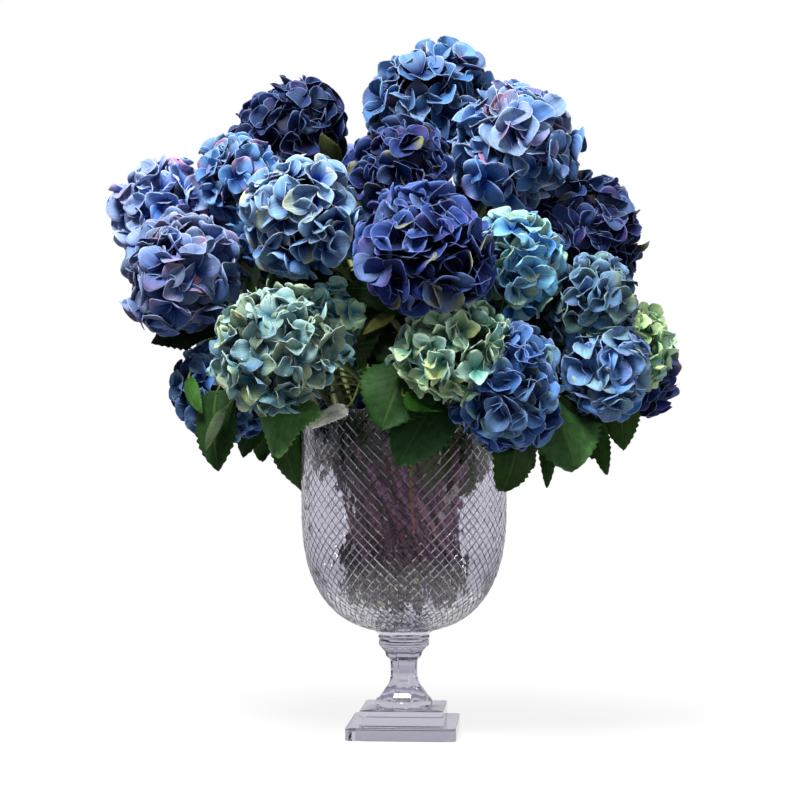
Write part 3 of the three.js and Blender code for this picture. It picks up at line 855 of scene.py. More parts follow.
    def floret_sites(self, draw: np.random.Generator) -> tuple[np.ndarray, np.ndarray]:
        """Places the florets over the ball, from its top down to the stem.

        Args:
            draw: Source of the random draws.

        Returns:
            Floret centres and the ways that they face.
        """
        count = self.cut.value.florets
        first, second = cross_axes(self.axis)
        number = np.arange(count)
        height = 1 - self.spread * (number + 0.5) / count
        width = np.sqrt(1 - height**2)
        turn = GOLDEN_TURN * number + draw.uniform(0, 2 * np.pi)
        outward = (height[:, None] * self.axis + (width * np.cos(turn))[:, None] * first
                   + (width * np.sin(turn))[:, None] * second)
        outward = unit(outward + draw.normal(0, self.straying, (count, 3)))
        low, high = self.seats
        seats = low + (high - low) * draw.beta(*self.seat_odds, count)

        # A few waves over the ball make it lumpy
        ways = unit(draw.normal(0, 1, (self.lump_waves, 3)))
        phases = draw.uniform(0, 6, self.lump_waves)
        seats = seats * (1 + self.lump * np.sin(self.lump_rate * outward @ ways.T + phases).mean(axis=1))
        nodding = draw.uniform(0, 1, count) < self.nodding_share
        tilts = np.where(nodding, self.nodding_tilt, self.tilt) / math.sqrt(3)
        facing = unit(outward + draw.normal(0, 1, (count, 3)) * tilts[:, None])
        return self.middle + outward * self.stretch(outward) * (seats * self.radius)[:, None], facing

    def petal_surfaces(self, centres: np.ndarray, facing: np.ndarray,
                       draw: np.random.Generator) -> tuple[np.ndarray, np.ndarray]:
        """Shapes the middle surfaces of all the petals.

        Args:
            centres: Floret centres.
            facing: The ways that the florets face.
            draw: Source of the random draws.

        Returns:
            The petals' points as petal, row, column, coordinate, and the two sheet coordinates
            of each row and column.
        """
        cut = self.cut.value
        florets = len(centres)
        count = florets * PETALS
        shape = (count, 1, 1)
        u, v = sheet_grid(self.petal_rows, self.petal_columns)
        length = self.radius * cut.length * np.repeat(draw.uniform(*self.floret_sizes, florets), PETALS)
        length = (length * draw.uniform(*self.lengths, count)).reshape(shape)
        width = (cut.width * draw.uniform(*self.widths, count)).reshape(shape) * length

        # Outline: a narrow claw, the widest place past the middle, and a round or pointed end
        rise = self.claw + (1 - self.claw) * np.sin(
            np.pi / 2 * np.minimum(u / self.widest, 1)) ** self.claw_power
        fall = np.sqrt(np.clip(1 - ((u - self.widest) / self.end_reach) ** 2, 0, 1))
        outline = np.where(u < self.widest, rise, fall)
        reach = u * (1 - self.shoulder * u * v**2) + cut.point * u**4 * (1 - np.abs(v))

        # Lengthwise bend from a rising claw to a tip that curls in or out
        of_floret, of_petal = self.rise_spread
        raised = np.repeat(draw.normal(cut.rise, of_floret, florets), PETALS)
        raised = raised + draw.normal(0, of_petal, count)
        curl = draw.normal(*self.curl, count)
        curl = np.where(np.abs(curl) < self.least_curl, self.least_curl, curl)
        start, bend = raised.reshape(shape), curl.reshape(shape)
        angle = start + bend * reach
        x = length * (np.sin(angle) - np.sin(start)) / bend
        z = length * (np.cos(start) - np.cos(angle)) / bend

        # Crosswise cup, a ruffled edge and a slight twist
        cup = draw.normal(cut.cup, self.cup_spread, count).reshape(shape)
        phase = draw.uniform(0, 2 * np.pi, (2, count)).reshape(2, count, 1, 1)
        rate, slip = self.side_ruffle
        ruffle = cut.wave * np.sin(phase[0] + rate * u + slip * np.sign(v)) * v**2 * u
        ruffle = ruffle + self.end_ruffle_share * cut.wave * np.sin(phase[1] + self.end_ruffle * v) * u**2
        lift = cup * width * outline * v**2 + ruffle * length
        y = width / 2 * outline * v
        twist = draw.normal(0, self.twist, count).reshape(shape) * u
        y, lift = y * np.cos(twist) - lift * np.sin(twist), y * np.sin(twist) + lift * np.cos(twist)
        x = self.claw_reach + x - lift * np.sin(angle)
        z = z + lift * np.cos(angle)
        z = z + np.tile([self.overlap, -self.overlap] * 2, florets).reshape(shape) * (1 - u)

        first, second = cross_axes(facing)
        turn = np.repeat(draw.uniform(0, 2 * np.pi, florets), PETALS) + np.tile(
            np.arange(PETALS), florets) * np.pi / 2
        turn = turn + draw.normal(0, self.turn_spread, count)
        first, second, facing, centres = (np.repeat(values, PETALS, axis=0)[:, None, None]
                                          for values in (first, second, facing, centres))
        cos, sin = np.cos(turn).reshape(*shape, 1), np.sin(turn).reshape(*shape, 1)
        outward = first * cos + second * sin
        sideways = second * cos - first * sin
        points = centres + outward * x[..., None] + sideways * y[..., None] + facing * z[..., None]
        return points, np.stack([u, v], -1)

    def petal_tints(self, points: np.ndarray, grid: np.ndarray, draw: np.random.Generator) -> np.ndarray:
        """Dyes the petals, lighter towards their ends, with painted shade deep in the head and each head's
        painted light and dye strength.

        Args:
            points: The petals' points.
            grid: The sheet coordinates of each row and column.
            draw: Source of the random draws.

        Returns:
            A linear colour for each point.
        """
        dye = self.tint.value
        deep, body, tip = linear(dye.deep), linear(dye.body), linear(dye.tip)
        count = len(points)
        florets = count // PETALS
        u, v = grid[..., 0], np.abs(grid[..., 1])
        up = unit(points.mean(axis=(1, 2)) - self.middle)[:, 2]
        fade = (np.repeat(draw.beta(*self.fade_odds, florets), PETALS) * self.fade_floret
                + self.fade_petal * draw.uniform(0, 1, count))
        fade = np.clip(fade + self.fade_least + self.fade_up * up, 0, 1)
        face = mixed(body, tip, fade)[:, None, None]
        odd = np.repeat(draw.uniform(0, 1, florets) < dye.odd_share, PETALS) | (
            draw.uniform(0, 1, count) < dye.odd_share / 2)
        face = np.where(odd[:, None, None, None],
                        (1 - self.odd_strength) * face + self.odd_strength * linear(dye.odd), face)
        blushes = (draw.uniform(0, 1, count) < dye.blush_share) * draw.uniform(*self.blush_strengths, count)
        colours = mixed(deep, face, smooth_step(*self.throat, u)[None])
        ending = self.end_strength * smooth_step(*self.end, u)[None] * fade[:, None, None]
        colours = mixed(colours, tip, ending)
        blushed = blushes[:, None, None] * smooth_step(*self.blush, np.maximum(u, v * u))[None]
        colours = mixed(colours, linear(dye.blush), blushed)
        accents = (draw.uniform(0, 1, count) < dye.accent_share) * draw.uniform(*self.accent_strengths, count)
        side = draw.choice([-1.0, 1.0], count)[:, None, None] * grid[..., 1]
        marked = smooth_step(*self.accent, u + self.accent_side * side) * accents[:, None, None]
        colours = mixed(colours, linear(dye.accent), marked)
        away = points - self.middle
        reach = np.linalg.norm(away / self.stretch(away), axis=-1) / self.radius
        # Painted shade: colours darken deep in the head, down to painted_shade_floor of themselves
        shade = self.painted_shade_floor + (1 - self.painted_shade_floor) * smooth_step(*self.painted_shade_fade, reach)
        # Each head's factor is partly its dye strength and partly painted light and shade; each petal adds a
        # random tone
        dye_and_painted_light = self.dye_and_painted_light * draw.uniform(*self.tones, count)[:, None, None]
        return colours * (shade * dye_and_painted_light)[..., None]

    def eyes(self, centres: np.ndarray, facing: np.ndarray) -> Skin:
        """Makes the closed bud in the middle of each floret.

        Args:
            centres: Floret centres.
            facing: The ways that the florets face.

        Returns:
            Beads with six corners each.
        """
        corners = np.array([[1, 0, 0], [0, 1, 0], [-1, 0, 0], [0, -1, 0], [0, 0, 1], [0, 0, -1]])
        faces = np.array([[0, 1, 4], [1, 2, 4], [2, 3, 4], [3, 0, 4],
                          [1, 0, 5], [2, 1, 5], [3, 2, 5], [0, 3, 5]])
        points = (centres + facing * self.claw_reach)[:, None] + corners * self.eye_radius
        tints = np.broadcast_to(linear(self.tint.value.deep), points.shape)
        return Skin(points.reshape(-1, 3), [copies(faces, len(centres), len(corners))], [True], [0],
                    tints.reshape(-1, 3))

    def branchlets(self, centres: np.ndarray) -> Skin:
        """Makes the thin stalks that carry the florets, from the end of the stem.

        Args:
            centres: Floret centres.

        Returns:
            Three-sided tubes.
        """
        low, out = self.stalk_bow
        bow = self.middle - low * self.radius * self.axis + out * (centres - self.middle)
        share = np.linspace(0, 1, self.stalk_points)[None, :, None]
        paths = ((1 - share) ** 2 * self.root + 2 * (1 - share) * share * bow[:, None]
                 + share**2 * centres[:, None])
        radii = np.broadcast_to(np.linspace(*self.stalk_radii, self.stalk_points), paths.shape[:2])
        tints = np.broadcast_to(linear(self.stalk_colour), paths.shape)
        return closed_tubes(paths, radii, self.stalk_sides, tints, finish=1)

    def build(self, blooms: list["Bloom"], stalk: bpy.types.Material, seed: int) -> None:
        """Makes the head and dresses it.

        Args:
            blooms: Every head of the bunch.
            stalk: The material of the branchlets.
            seed: Seed of the head's random draws.
        """
        draw = np.random.default_rng(seed)
        planes = self.press_planes(blooms)
        centres, facing = self.floret_sites(draw)
        centres = self.pressed(centres, planes)
        surfaces, grid = self.petal_surfaces(centres, facing, draw)
        surfaces = self.pressed(surfaces, planes)
        tints = self.petal_tints(surfaces, grid, draw)
        number = np.arange(len(surfaces))[:, None, None]
        places = np.stack(np.broadcast_arrays(grid[..., 0], grid[..., 1], number), -1)
        petals = closed_sheets(surfaces, self.petal_thickness, tints, places)
        cloth = f"pressed polyester petal {self.tint.name.lower()}"
        material = bpy.data.materials.get(cloth) or PressedPetal(rim=self.tint.value.rim).material(cloth)
        skins = [petals, self.eyes(centres, facing), self.branchlets(centres)]
        slot = f"petals_{(self.stock or self.tint).name.lower()}"
        build_piece(f"bloom_{self.name}", skins, [material, stalk], slot, f"head_{self.name}")


# The dye_and_painted_light factors below are partly dye strength and partly painted light and shade, lifting
# heads that sit in shade
BLOOMS = [
    Bloom("top", (34, 12, 858), 90, 0, Tint.DENIM, dye_and_painted_light=0.74, up=0.92, right=1.12),
    Bloom("top_right", (150, -85, 779), 87, 0, Tint.SKY, painted_shade_floor=0.15, dye_and_painted_light=0.66),
    Bloom("upper_left", (-160, 39, 823), 82, 0, Tint.NAVY, dye_and_painted_light=0.4, up=0.95, right=0.92),
    Bloom("crown", (8, -135, 739), 73, 0, Tint.NAVY, dye_and_painted_light=0.66, left=1.1, right=0.93, up=0.92),
    Bloom("front", (41, -263, 623), 85, 1, Tint.NAVY, dye_and_painted_light=1.08),
    Bloom("pale_left", (-114, -208, 672), 78, 1, Tint.PALE, dye_and_painted_light=0.92, left=0.94),
    Bloom("far_left_upper", (-319, -32, 703), 79, 1, Tint.LILAC, dye_and_painted_light=1.1, painted_shade_floor=0.2, right=1.2),
    Bloom("far_left_lower", (-280, -135, 615), 82, 1, Tint.LILAC, dye_and_painted_light=0.74, painted_shade_floor=0.15),
    Bloom("small_left", (-215, -75, 747), 58, 1, Tint.DENIM, Cut.SMALL, Tint.SKY, dye_and_painted_light=0.92, painted_shade_floor=0.2),
    Bloom("green_left", (-140, -235, 508), 84, 2, Tint.AQUA, Cut.WAVY, dye_and_painted_light=0.86, painted_shade_floor=0.3),
    Bloom("green_small", (-80, -138, 551), 50, 1, Tint.AQUA, Cut.SMALL, dye_and_painted_light=2.7, painted_shade_floor=0.2, right=1.2,
          down=1.3),
    Bloom("green_front", (71, -231, 508), 74, 2, Tint.SAGE, Cut.WAVY, dye_and_painted_light=1.28, painted_shade_floor=0.3, right=1.15),
    Bloom("right_dark", (248, -42, 669), 78, 1, Tint.NAVY, dye_and_painted_light=0.52),
    Bloom("right_teal", (150, -149, 620), 67, 1, Tint.TEAL, Cut.BROAD, dye_and_painted_light=1.34, painted_shade_floor=0.15, down=1.15),
    Bloom("right_slate", (250, -118, 574), 60, 1, Tint.SLATE, Cut.BROAD, left=1.4),
    Bloom("right_blue", (268, -112, 487), 67, 2, Tint.HAZE, Cut.BROAD, Tint.DENIM, dye_and_painted_light=1.0, painted_shade_floor=0.2,
          right=0.8),
    Bloom("low_blue", (143, -206, 451), 70, 2, Tint.CORNFLOWER, dye_and_painted_light=0.96, up=1.5),
    Bloom("right_lime", (305, 2, 524), 63, 2, Tint.LIME, Cut.WAVY, dye_and_painted_light=1.7, painted_shade_floor=0.3, down=1.4),
    Bloom("right_rear", (326, 93, 492), 59, 2, Tint.NAVY, Cut.SMALL),
    Bloom("left_low", (-230, -86, 459), 69, 2, Tint.CORNFLOWER, dye_and_painted_light=0.74),
    Bloom("back_top", (-50, 140, 755), 80, 0, Tint.SKY),
    Bloom("back_top_right", (135, 130, 745), 78, 0, Tint.NAVY),
    Bloom("back_top_left", (-210, 125, 700), 76, 1, Tint.DENIM),
    Bloom("back_right_middle", (75, 260, 635), 80, 1, Tint.LILAC),
    Bloom("back_left_middle", (-85, 250, 640), 80, 1, Tint.NAVY),
    Bloom("back_right", (230, 165, 600), 80, 1, Tint.PALE),
    Bloom("back_left", (-245, 150, 570), 80, 2, Tint.AQUA, Cut.WAVY),
    Bloom("back_left_low", (-110, 250, 480), 78, 2, Tint.CORNFLOWER),
    Bloom("back_right_low", (110, 255, 475), 78, 2, Tint.SAGE, Cut.WAVY),
]


@dataclass(frozen=True)
class Leaf:
    """One toothed leaf: where it leaves its stem, its base, its tip, its width and its dye.

    Attributes:
        stem: The head whose stem it grows from.
        at: The height where its stalk leaves the stem.
        base: Where the blade starts.
        tip: Where the blade ends.
        width: Width across the blade.
        dye: sRGB hex of the upper side.
        face: The way that the upper side faces, which is away from the vase where it isn't given.
        inside: Whether it hangs inside the bowl.
    """

    stem: str
    at: float
    base: Triple
    tip: Triple
    width: float
    dye: str = "#21400f"
    face: Triple | None = None
    inside: bool = False

    rows: int = 25
    columns: int = 9
    thickness: float = 0.8
    fold: float = 0.16
    wave: float = 0.07
    arch: float = 0.1
    tooth: float = 0.13
    widest: float = 0.62
    roundness: float = 0.66
    ends: Pair = (0.008, 0.995)
    facing_up: float = 60.0
    ripples: float = 7
    edge_light: float = 0.25

    def surface(self, draw: np.random.Generator) -> np.ndarray:
        """Shapes the blade's middle surface.

        Args:
            draw: Source of the random draws.

        Returns:
            Points as row, column, coordinate.
        """
        base, tip = np.array(self.base, float), np.array(self.tip, float)
        length = np.linalg.norm(tip - base)
        along = (tip - base) / length
        outward = unit(np.array(self.face or (base[0] + tip[0], base[1] + tip[1], self.facing_up)))
        normal = unit(outward - along * (outward @ along))
        across = np.cross(along, normal)
        t, v = sheet_grid(self.rows, self.columns)
        tooth = 1 - self.tooth * (np.arange(self.rows) % 2 == 0)[:, None] * np.abs(v)
        oval = np.sin(np.pi * np.clip(t, *self.ends) ** self.widest) ** self.roundness
        half = self.width / 2 * oval * tooth
        phase = draw.uniform(0, 2 * np.pi)
        ruffle = self.wave * self.width * np.sin(phase + np.sign(v) + self.ripples * t) * v**2
        lift = self.arch * length * 4 * t * (1 - t) + ruffle - self.fold * half * np.abs(v)
        points = base + t[..., None] * length * along + (v * half)[..., None] * across
        return points + lift[..., None] * normal

    def tints(self) -> np.ndarray:
        """Dyes the blade, a little lighter towards its edges."""
        _, v = sheet_grid(self.rows, self.columns)
        return linear(self.dye) * (1 + self.edge_light * np.abs(v))[..., None]


FORE = (0.1, -1, 0.1)
LEFT = (-0.35, -1, 0.1)
RIGHT = (0.35, -1, 0.1)
UP = (-0.1, -1, 0.35)
LEAVES = [
    Leaf("far_left_lower", 520, (-246, -80, 548), (-326, -104, 523), 62, "#1b2c12", UP),
    Leaf("green_left", 474, (-228, -165, 458), (-224, -172, 355), 68, "#173411", LEFT),
    Leaf("green_left", 468, (-215, -192, 432), (-236, -196, 381), 19, "#42523a", LEFT),
    Leaf("green_left", 462, (-124, -178, 452), (-150, -197, 374), 96, "#5c8a4a"),
    Leaf("left_low", 464, (-268, -152, 474), (-244, -178, 428), 24, "#2c561c", LEFT),
    Leaf("back_left", 474, (-172, 10, 428), (-146, 44, 326), 52, face=LEFT),
    Leaf("green_front", 470, (15, -178, 488), (-15, -198, 407), 104, "#24441e"),
    Leaf("green_front", 450, (50, -152, 446), (4, -168, 362), 90, "#2a5028"),
    Leaf("green_front", 490, (14, -205, 448), (62, -224, 432), 30, "#34681f", FORE),
    Leaf("low_blue", 452, (154, -150, 422), (136, -178, 330), 90),
    Leaf("right_blue", 452, (196, -116, 446), (228, -144, 357), 128, "#32562a", RIGHT),
    Leaf("low_blue", 446, (194, -98, 432), (192, -104, 333), 30, face=FORE),
    Leaf("right_lime", 452, (250, -60, 430), (270, -88, 350), 34, face=FORE),
    Leaf("right_lime", 470, (284, -36, 462), (293, -56, 382), 60, face=RIGHT),
    Leaf("front", 520, (0, -178, 556), (-40, -176, 528), 18, "#6a6c36"),
    Leaf("upper_left", 700, (-88, -46, 766), (-106, -74, 802), 30, "#38401f", UP),
    Leaf("back_left", 458, (-180, 96, 450), (-216, 122, 368), 72),
    Leaf("back_left_low", 450, (-96, 178, 440), (-112, 214, 352), 76),
    Leaf("back_right_low", 452, (58, 186, 448), (72, 226, 362), 80),
    Leaf("back_right_low", 446, (136, 156, 440), (176, 184, 356), 70),
    Leaf("right_rear", 452, (214, 62, 452), (262, 84, 372), 74),
    Leaf("back_right", 500, (160, 110, 520), (222, 128, 486), 54),
    Leaf("left_low", 458, (-186, -30, 452), (-214, -40, 372), 58, face=LEFT),
    Leaf("green_left", 470, (-61, -168, 436), (-103, -194, 410), 24, "#fbf8ea", UP),
    # The next two near-black leaves fill gaps between heads; their dye partly paints the shade there
    Leaf("right_teal", 540, (129, -80, 529), (210, -90, 557), 56, "#12240c", FORE),
    Leaf("right_blue", 480, (190, -60, 462), (269, -80, 418), 60, "#14280e", FORE),
    Leaf("back_left", 470, (-142, 64, 446), (-120, 84, 334), 66, "#1a3014"),
    Leaf("green_left", 446, (-110, -54, 438), (-102, -60, 386), 52, "#18200f", LEFT, inside=True),
    Leaf("green_left", 448, (-80, -84, 440), (-72, -90, 366), 46, "#26341c", FORE, inside=True),
    Leaf("low_blue", 446, (92, -60, 440), (96, -66, 372), 50, "#485228", FORE, inside=True),
    Leaf("right_blue", 446, (112, -30, 436), (110, -44, 350), 56, "#6a7444", RIGHT, inside=True),
    Leaf("right_rear", 446, (112, 24, 438), (66, 0, 312), 78, "#626c3e", FORE, inside=True),
    # The next three near-black leaves fill gaps between heads; their dye partly paints the shade there
    Leaf("front", 540, (-34, -96, 534), (34, -84, 590), 56, "#12240c", FORE),
    Leaf("pale_left", 560, (-170, -112, 586), (-104, -100, 622), 52, "#12240c", FORE),
    Leaf("low_blue", 470, (172, -76, 462), (220, -64, 520), 56, "#12240c", FORE),
    Leaf("green_front", 446, (62, -92, 440), (40, -100, 326), 60, "#727844", FORE, inside=True),
]


@dataclass
class CutBowl:
    """The crystal bowl: a straight side over a rounded bottom, cut all over with flat-topped diamonds.

    Attributes:
        radius: Outer radius of the straight side.
        curve_power: Power of the superellipse that rounds the bottom.
        start_radius: Where the outer curve starts at the underside.
        inner_start: Where the inner curve starts at the floor.
        lip: Inset and rise of the rim's round, from the outside in.
        around: Diamonds round the bowl.
        ranks: Staggered rows of diamonds from the underside to the rim.
        groove_depth: Depth of the cut lines.
        land: Share of a diamond that its flat top takes.
        top_depth: How deep the middle of a diamond's top lies.
        top_tilt: Spread of the rise of its corners above that, by hand cutting.
    """

    radius: float = 139.4
    rim_height: float = 434
    curve_top: float = 311
    curve_depth: float = 175
    curve_power: float = 2.55
    underside_height: float = 133
    underside_radius: float = 33
    start_radius: float = 40
    wall: float = 5
    floor_height: float = 148
    inner_start: float = 24
    inner_rows: int = 26
    lip: tuple[Pair, ...] = ((0.9, 0.6), (2.5, 1.0), (4.3, 0.6))
    around: int = 63
    ranks: int = 50
    groove_depth: float = 1.3
    land: float = 0.86
    top_depth: float = 0.45
    top_tilt: float = 0.22
    seed: int = 901

    def inner_radius(self, height: float) -> float:
        """Gives the inner radius of the rounded bottom at a height above its floor."""
        drop = (self.curve_top - height) / (self.curve_top - self.floor_height)
        return (self.radius - self.wall) * (1 - drop**self.curve_power) ** (1 / self.curve_power)

    def side(self, radius: float, depth: float, start: float, count: int) -> np.ndarray:
        """The side's outline, evenly spaced from the underside to the rim.

        Args:
            radius: Radius of the straight side.
            depth: Depth of the rounded bottom.
            start: Radius where the outline starts.
            count: How many stretches.

        Returns:
            Radius and height of count + 1 points.
        """
        last = math.acos((start / radius) ** (self.curve_power / 2))
        angle = last * (1 - np.linspace(0, 1, 400))
        curved = np.stack([radius * np.cos(angle) ** (2 / self.curve_power),
                           self.curve_top - depth * np.sin(angle) ** (2 / self.curve_power)], -1)
        rise = np.linspace(0, 1, 200)[1:]
        straight = np.stack([np.full(rise.shape, radius),
                             self.curve_top + rise * (self.rim_height - self.curve_top)], -1)
        fine = np.concatenate([curved, straight])
        travel = np.concatenate([[0], np.cumsum(np.linalg.norm(np.diff(fine, axis=0), axis=1))])
        even = np.linspace(0, travel[-1], count + 1)
        return np.stack([np.interp(even, travel, fine[:, i]) for i in (0, 1)], -1)

    def at(self, outline: np.ndarray, row: np.ndarray, turn: np.ndarray, sunk: np.ndarray) -> np.ndarray:
        """Points on the outer side at a fractional row and a turn.

        Args:
            outline: The evenly spaced outline.
            row: Rows up the outline, which may be between two of its points.
            turn: Turn round the axis.
            sunk: Depth below the side.

        Returns:
            The points.
        """
        numbers = np.arange(len(outline))
        slopes = unit(np.gradient(outline, axis=0))
        radius, height, across, up = (np.interp(row, numbers, values)
                                      for values in (*outline.T, *slopes.T))
        return polar(radius - sunk * up, turn, height + sunk * across)

    def build(self, glass: bpy.types.Material, painted_shade_groove: bpy.types.Material) -> None:
        """Makes the bowl and dresses it.

        Args:
            glass: The polished glass.
            painted_shade_groove: The glass of the cut lines, tinted darker than the polished glass as painted
                shade in the grooves.
        """
        outline = self.side(self.radius, self.curve_depth, self.start_radius, self.ranks)
        count = 2 * self.around
        step = 2 * math.pi / count
        rows, places = np.meshgrid(np.arange(self.ranks + 1), np.arange(count), indexing="ij")
        number = rows * count + places
        edge = (rows == 0) | (rows == self.ranks)
        nodes = self.at(outline, rows, places * step, np.where(edge, 0, self.groove_depth))

        # A diamond stands round each odd place: its flat top has four corners
        row, place = (found[:, None] for found in np.nonzero((rows + places) % 2 * ~edge))
        ways = np.array([[-1, 0, 1, 0], [0, 1, 0, -1]])
        draw = np.random.default_rng(self.seed)
        tilt = np.clip(draw.normal(0, self.top_tilt, (len(row), 2)), -self.top_depth, self.top_depth)
        tops = self.at(outline, row + self.land * ways[0], (place + self.land * ways[1]) * step,
                       self.top_depth + tilt @ ways)
        corners = number[row + ways[0], (place + ways[1]) % count]

        # Half diamonds close the pattern at the underside and at the rim
        low = np.arange(1, count, 2)
        high = np.arange((self.ranks + 1) % 2, count, 2)
        halves = [np.stack([number[0, low], number[0, (low + 1) % count], number[1, low],
                            number[0, low - 1]], -1),
                  np.stack([number[-1, high], number[-1, high - 1], number[-2, high],
                            number[-1, (high + 1) % count]], -1)]

        # Underside disc, rim and smooth inside
        inside = self.side(self.radius - self.wall, self.curve_top - self.floor_height, self.inner_start,
                           self.inner_rows)
        lip = np.array([[self.radius - inset, self.rim_height + rise] for inset, rise in self.lip])
        profile = np.concatenate([lip, inside[::-1]])
        turns = np.arange(count) * step
        spun = polar(profile[:, :1], turns, profile[:, 1:])
        under = polar(self.underside_radius, turns, self.underside_height)

        # The parts' points are numbered one after another
        parts = [part.reshape(-1, 3) for part in (nodes, tops, spun, under)]
        starts = np.cumsum([len(part) for part in parts])
        top_numbers = starts[0] + np.arange(len(parts[1])).reshape(-1, 4)
        spun_numbers = starts[1] + np.arange(len(parts[2])).reshape(-1, count)
        under_numbers = starts[2] + np.arange(count)
        chain = np.concatenate([number[-1:], spun_numbers])
        flat = np.concatenate([top_numbers, *halves, walls(under_numbers, number[0])])
        ends = np.stack([under_numbers[::-1], spun_numbers[-1]])
        faces = [flat, walls(corners, top_numbers), walls(chain[:-1], chain[1:]), ends]
        # The walls of the cut lines take the darker glass: painted shade in the grooves
        skin = Skin(np.concatenate(parts), faces, [False, False, True, False], [0, 1, 0, 0])
        build_piece("cut_bowl", [skin], [glass, painted_shade_groove], "cut_glass", "vase_bowl")


@dataclass
class Bunch:
    """The cut flowers: stems that lean past one another in the vase, their heads and their leaves.

    Attributes:
        blooms: The heads, one to a stem.
        leaves: The leaves whose places are given.
        bowl: The bowl that the stems stand in.
        waist_height: Where the stems pass the axis closest.
        waist_radii: How far from the axis the stems of each ring pass it.
        leans: How far they then lean out for their rise.
        straight_top: Where they start to bend towards their heads.
        bend_handles: How long the bend keeps to the stem's way and to the head's, for its length.
        cut_slant: Rise of a cut end across the stem.
        slim: Thickness between two knots.
        shoots: Side shoots of a stem, with their own cut ends.
        ageing: Heights where the bark starts and is all cane.
        foot_shade: Light left on the stems by the painted shade at the bottom of the bowl, below the heights
            where it ends.
        clearance: Room between a leaf and the heads or the bowl.
        overhang: How far below the rim the tip of an under-leaf may hang.
        fresh_stem: The head on the stem that the one green shoot belongs to.
        turns: Turn of each stem round the axis, by its head's name.
    """

    blooms: list[Bloom]
    leaves: list[Leaf]
    bowl: CutBowl
    waist_height: float = 280
    waist_radii: tuple[float, ...] = (18, 42, 58)
    leans: tuple[float, ...] = (0.15, 0.44, 0.64)
    straight_top: float = 455
    straight_points: int = 15
    bend_steps: int = 14
    bend_handles: Pair = (0.4, 0.35)
    stem_radius: float = 4.6
    stem_sides: int = 10
    cut_slant: float = 0.7
    cut_length: float = 0.9
    slim: float = 0.9
    knot_steps: int = 6
    first_knot: tuple[int, int] = (3, 6)

    shoots: int = 3
    shoot_radius: float = 4.4
    shoot_feet: Pair = (164, 226)
    shoot_turn: float = 0.7
    shoot_reach: Pair = (0.4, 0.92)
    shoot_room: float = 14
    shoot_join: float = 12
    shoot_points: int = 12
    shoot_bow: float = 5

    bark: str = "#b27c9e"
    cane: str = "#6e7840"
    rust: str = "#b0745a"
    pith: str = "#c4cc84"
    ageing: Pair = (330, 450)
    ageing_spread: float = 14
    patch_share: float = 0.16
    patch_strengths: Pair = (0.3, 0.8)
    rusty_share: float = 0.22
    rusty_strength: float = 0.8
    pale_share: float = 0.3
    foot_shade: float = 0.2
    painted_shade_fade: Pair = (200, 310)
    stem_tones: Pair = (0.55, 1.3)

    fresh: str = "#94a83c"
    fresh_stem: str = "green_front"
    fresh_radius: float = 3.4
    fresh_steps: int = 16
    fresh_from: Pair = (318, 350)
    fresh_line: tuple[Triple, ...] = (
        (18, -82, 272), (14, -88, 322), (15, -100, 360), (26, -112, 440))

    clearance: float = 3.4
    head_room: float = 1.03
    wall_room: float = 16
    passes: int = 6
    petiole: str = "#5f7038"
    petiole_radius: float = 1.7
    petiole_sides: int = 6
    petiole_steps: int = 8
    petiole_rise: float = 0.18
    petiole_handles: Pair = (0.35, 0.3)

    inner_heights: Pair = (420, 446)
    inner_drops: Pair = (52, 92)
    inner_widths: Pair = (34, 58)
    inner_inwards: Pair = (-30, 0)
    inner_aside: Pair = (-22, 22)
    inner_hold: float = 8
    inner_dyes: tuple[str, ...] = ("#1a2414", "#232c1c", "#2a3a1c")

    overhang: float = 20
    under_reach: float = 1.25
    under_tries: int = 7
    under_turn: float = 2.2
    under_spread: float = 0.15
    under_base: Pair = (16, 2)
    under_lengths: Pair = (0.85, 1.1)
    under_lifts: Pair = (-14, 10)
    under_width: float = 0.74
    under_most: int = 3
    # Near-black dyes: leaves, and partly painted shade between the heads
    under_dyes_and_painted_shade: tuple[str, ...] = ("#0f2008", "#152c0d", "#1e3a14")
    turns: dict[str, float] = field(default_factory=dict)

    def share_circle(self) -> None:
        """Spreads the stems of each ring evenly round the circle, in the order of their heads."""
        for ring in range(len(self.waist_radii)):
            members = sorted((math.atan2(b.centre[1], b.centre[0]), b.name) for b in self.blooms
                             if b.ring == ring)
            share = 2 * math.pi / len(members)
            offset = sum(way - share * k for k, (way, _) in enumerate(members)) / len(members)
            self.turns.update((name, offset + share * k) for k, (_, name) in enumerate(members))

    def on_line(self, bloom: Bloom, height: float) -> np.ndarray:
        """The point of a stem's straight stretch at a height.

        Args:
            bloom: The stem's head.
            height: Height above the table.

        Returns:
            The point.
        """
        turn = self.turns[bloom.name]
        outward = np.array([math.cos(turn), math.sin(turn), 0.0])
        aside = np.array([-math.sin(turn), math.cos(turn), 0.0])
        lean = self.leans[bloom.ring] * (height - self.waist_height)
        return np.array([0, 0, height]) + self.waist_radii[bloom.ring] * aside + lean * outward

    def stem_path(self, bloom: Bloom) -> np.ndarray:
        """The centreline of a stem, from its cut end to the underside of its head.

        Args:
            bloom: The stem's head.

        Returns:
            Points, closer together where the stem bends.
        """
        lean = self.leans[bloom.ring]
        tilt = lean / math.hypot(1, lean)
        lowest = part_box(f"stem_{bloom.name}")[0].z / MM
        foot = lowest + self.stem_radius * tilt + self.cut_slant * self.stem_radius
        start, end = self.on_line(bloom, self.straight_top), bloom.root
        way = unit(self.on_line(bloom, self.straight_top + 1) - start)
        low, high = self.bend_handles
        reach = np.linalg.norm(end - start)
        bend = bezier([start, start + way * low * reach, end - bloom.axis * high * reach, end],
                      self.bend_steps)
        heights = np.linspace(foot, self.straight_top, self.straight_points)[:-1]
        return np.concatenate([[self.on_line(bloom, height) for height in heights], bend])

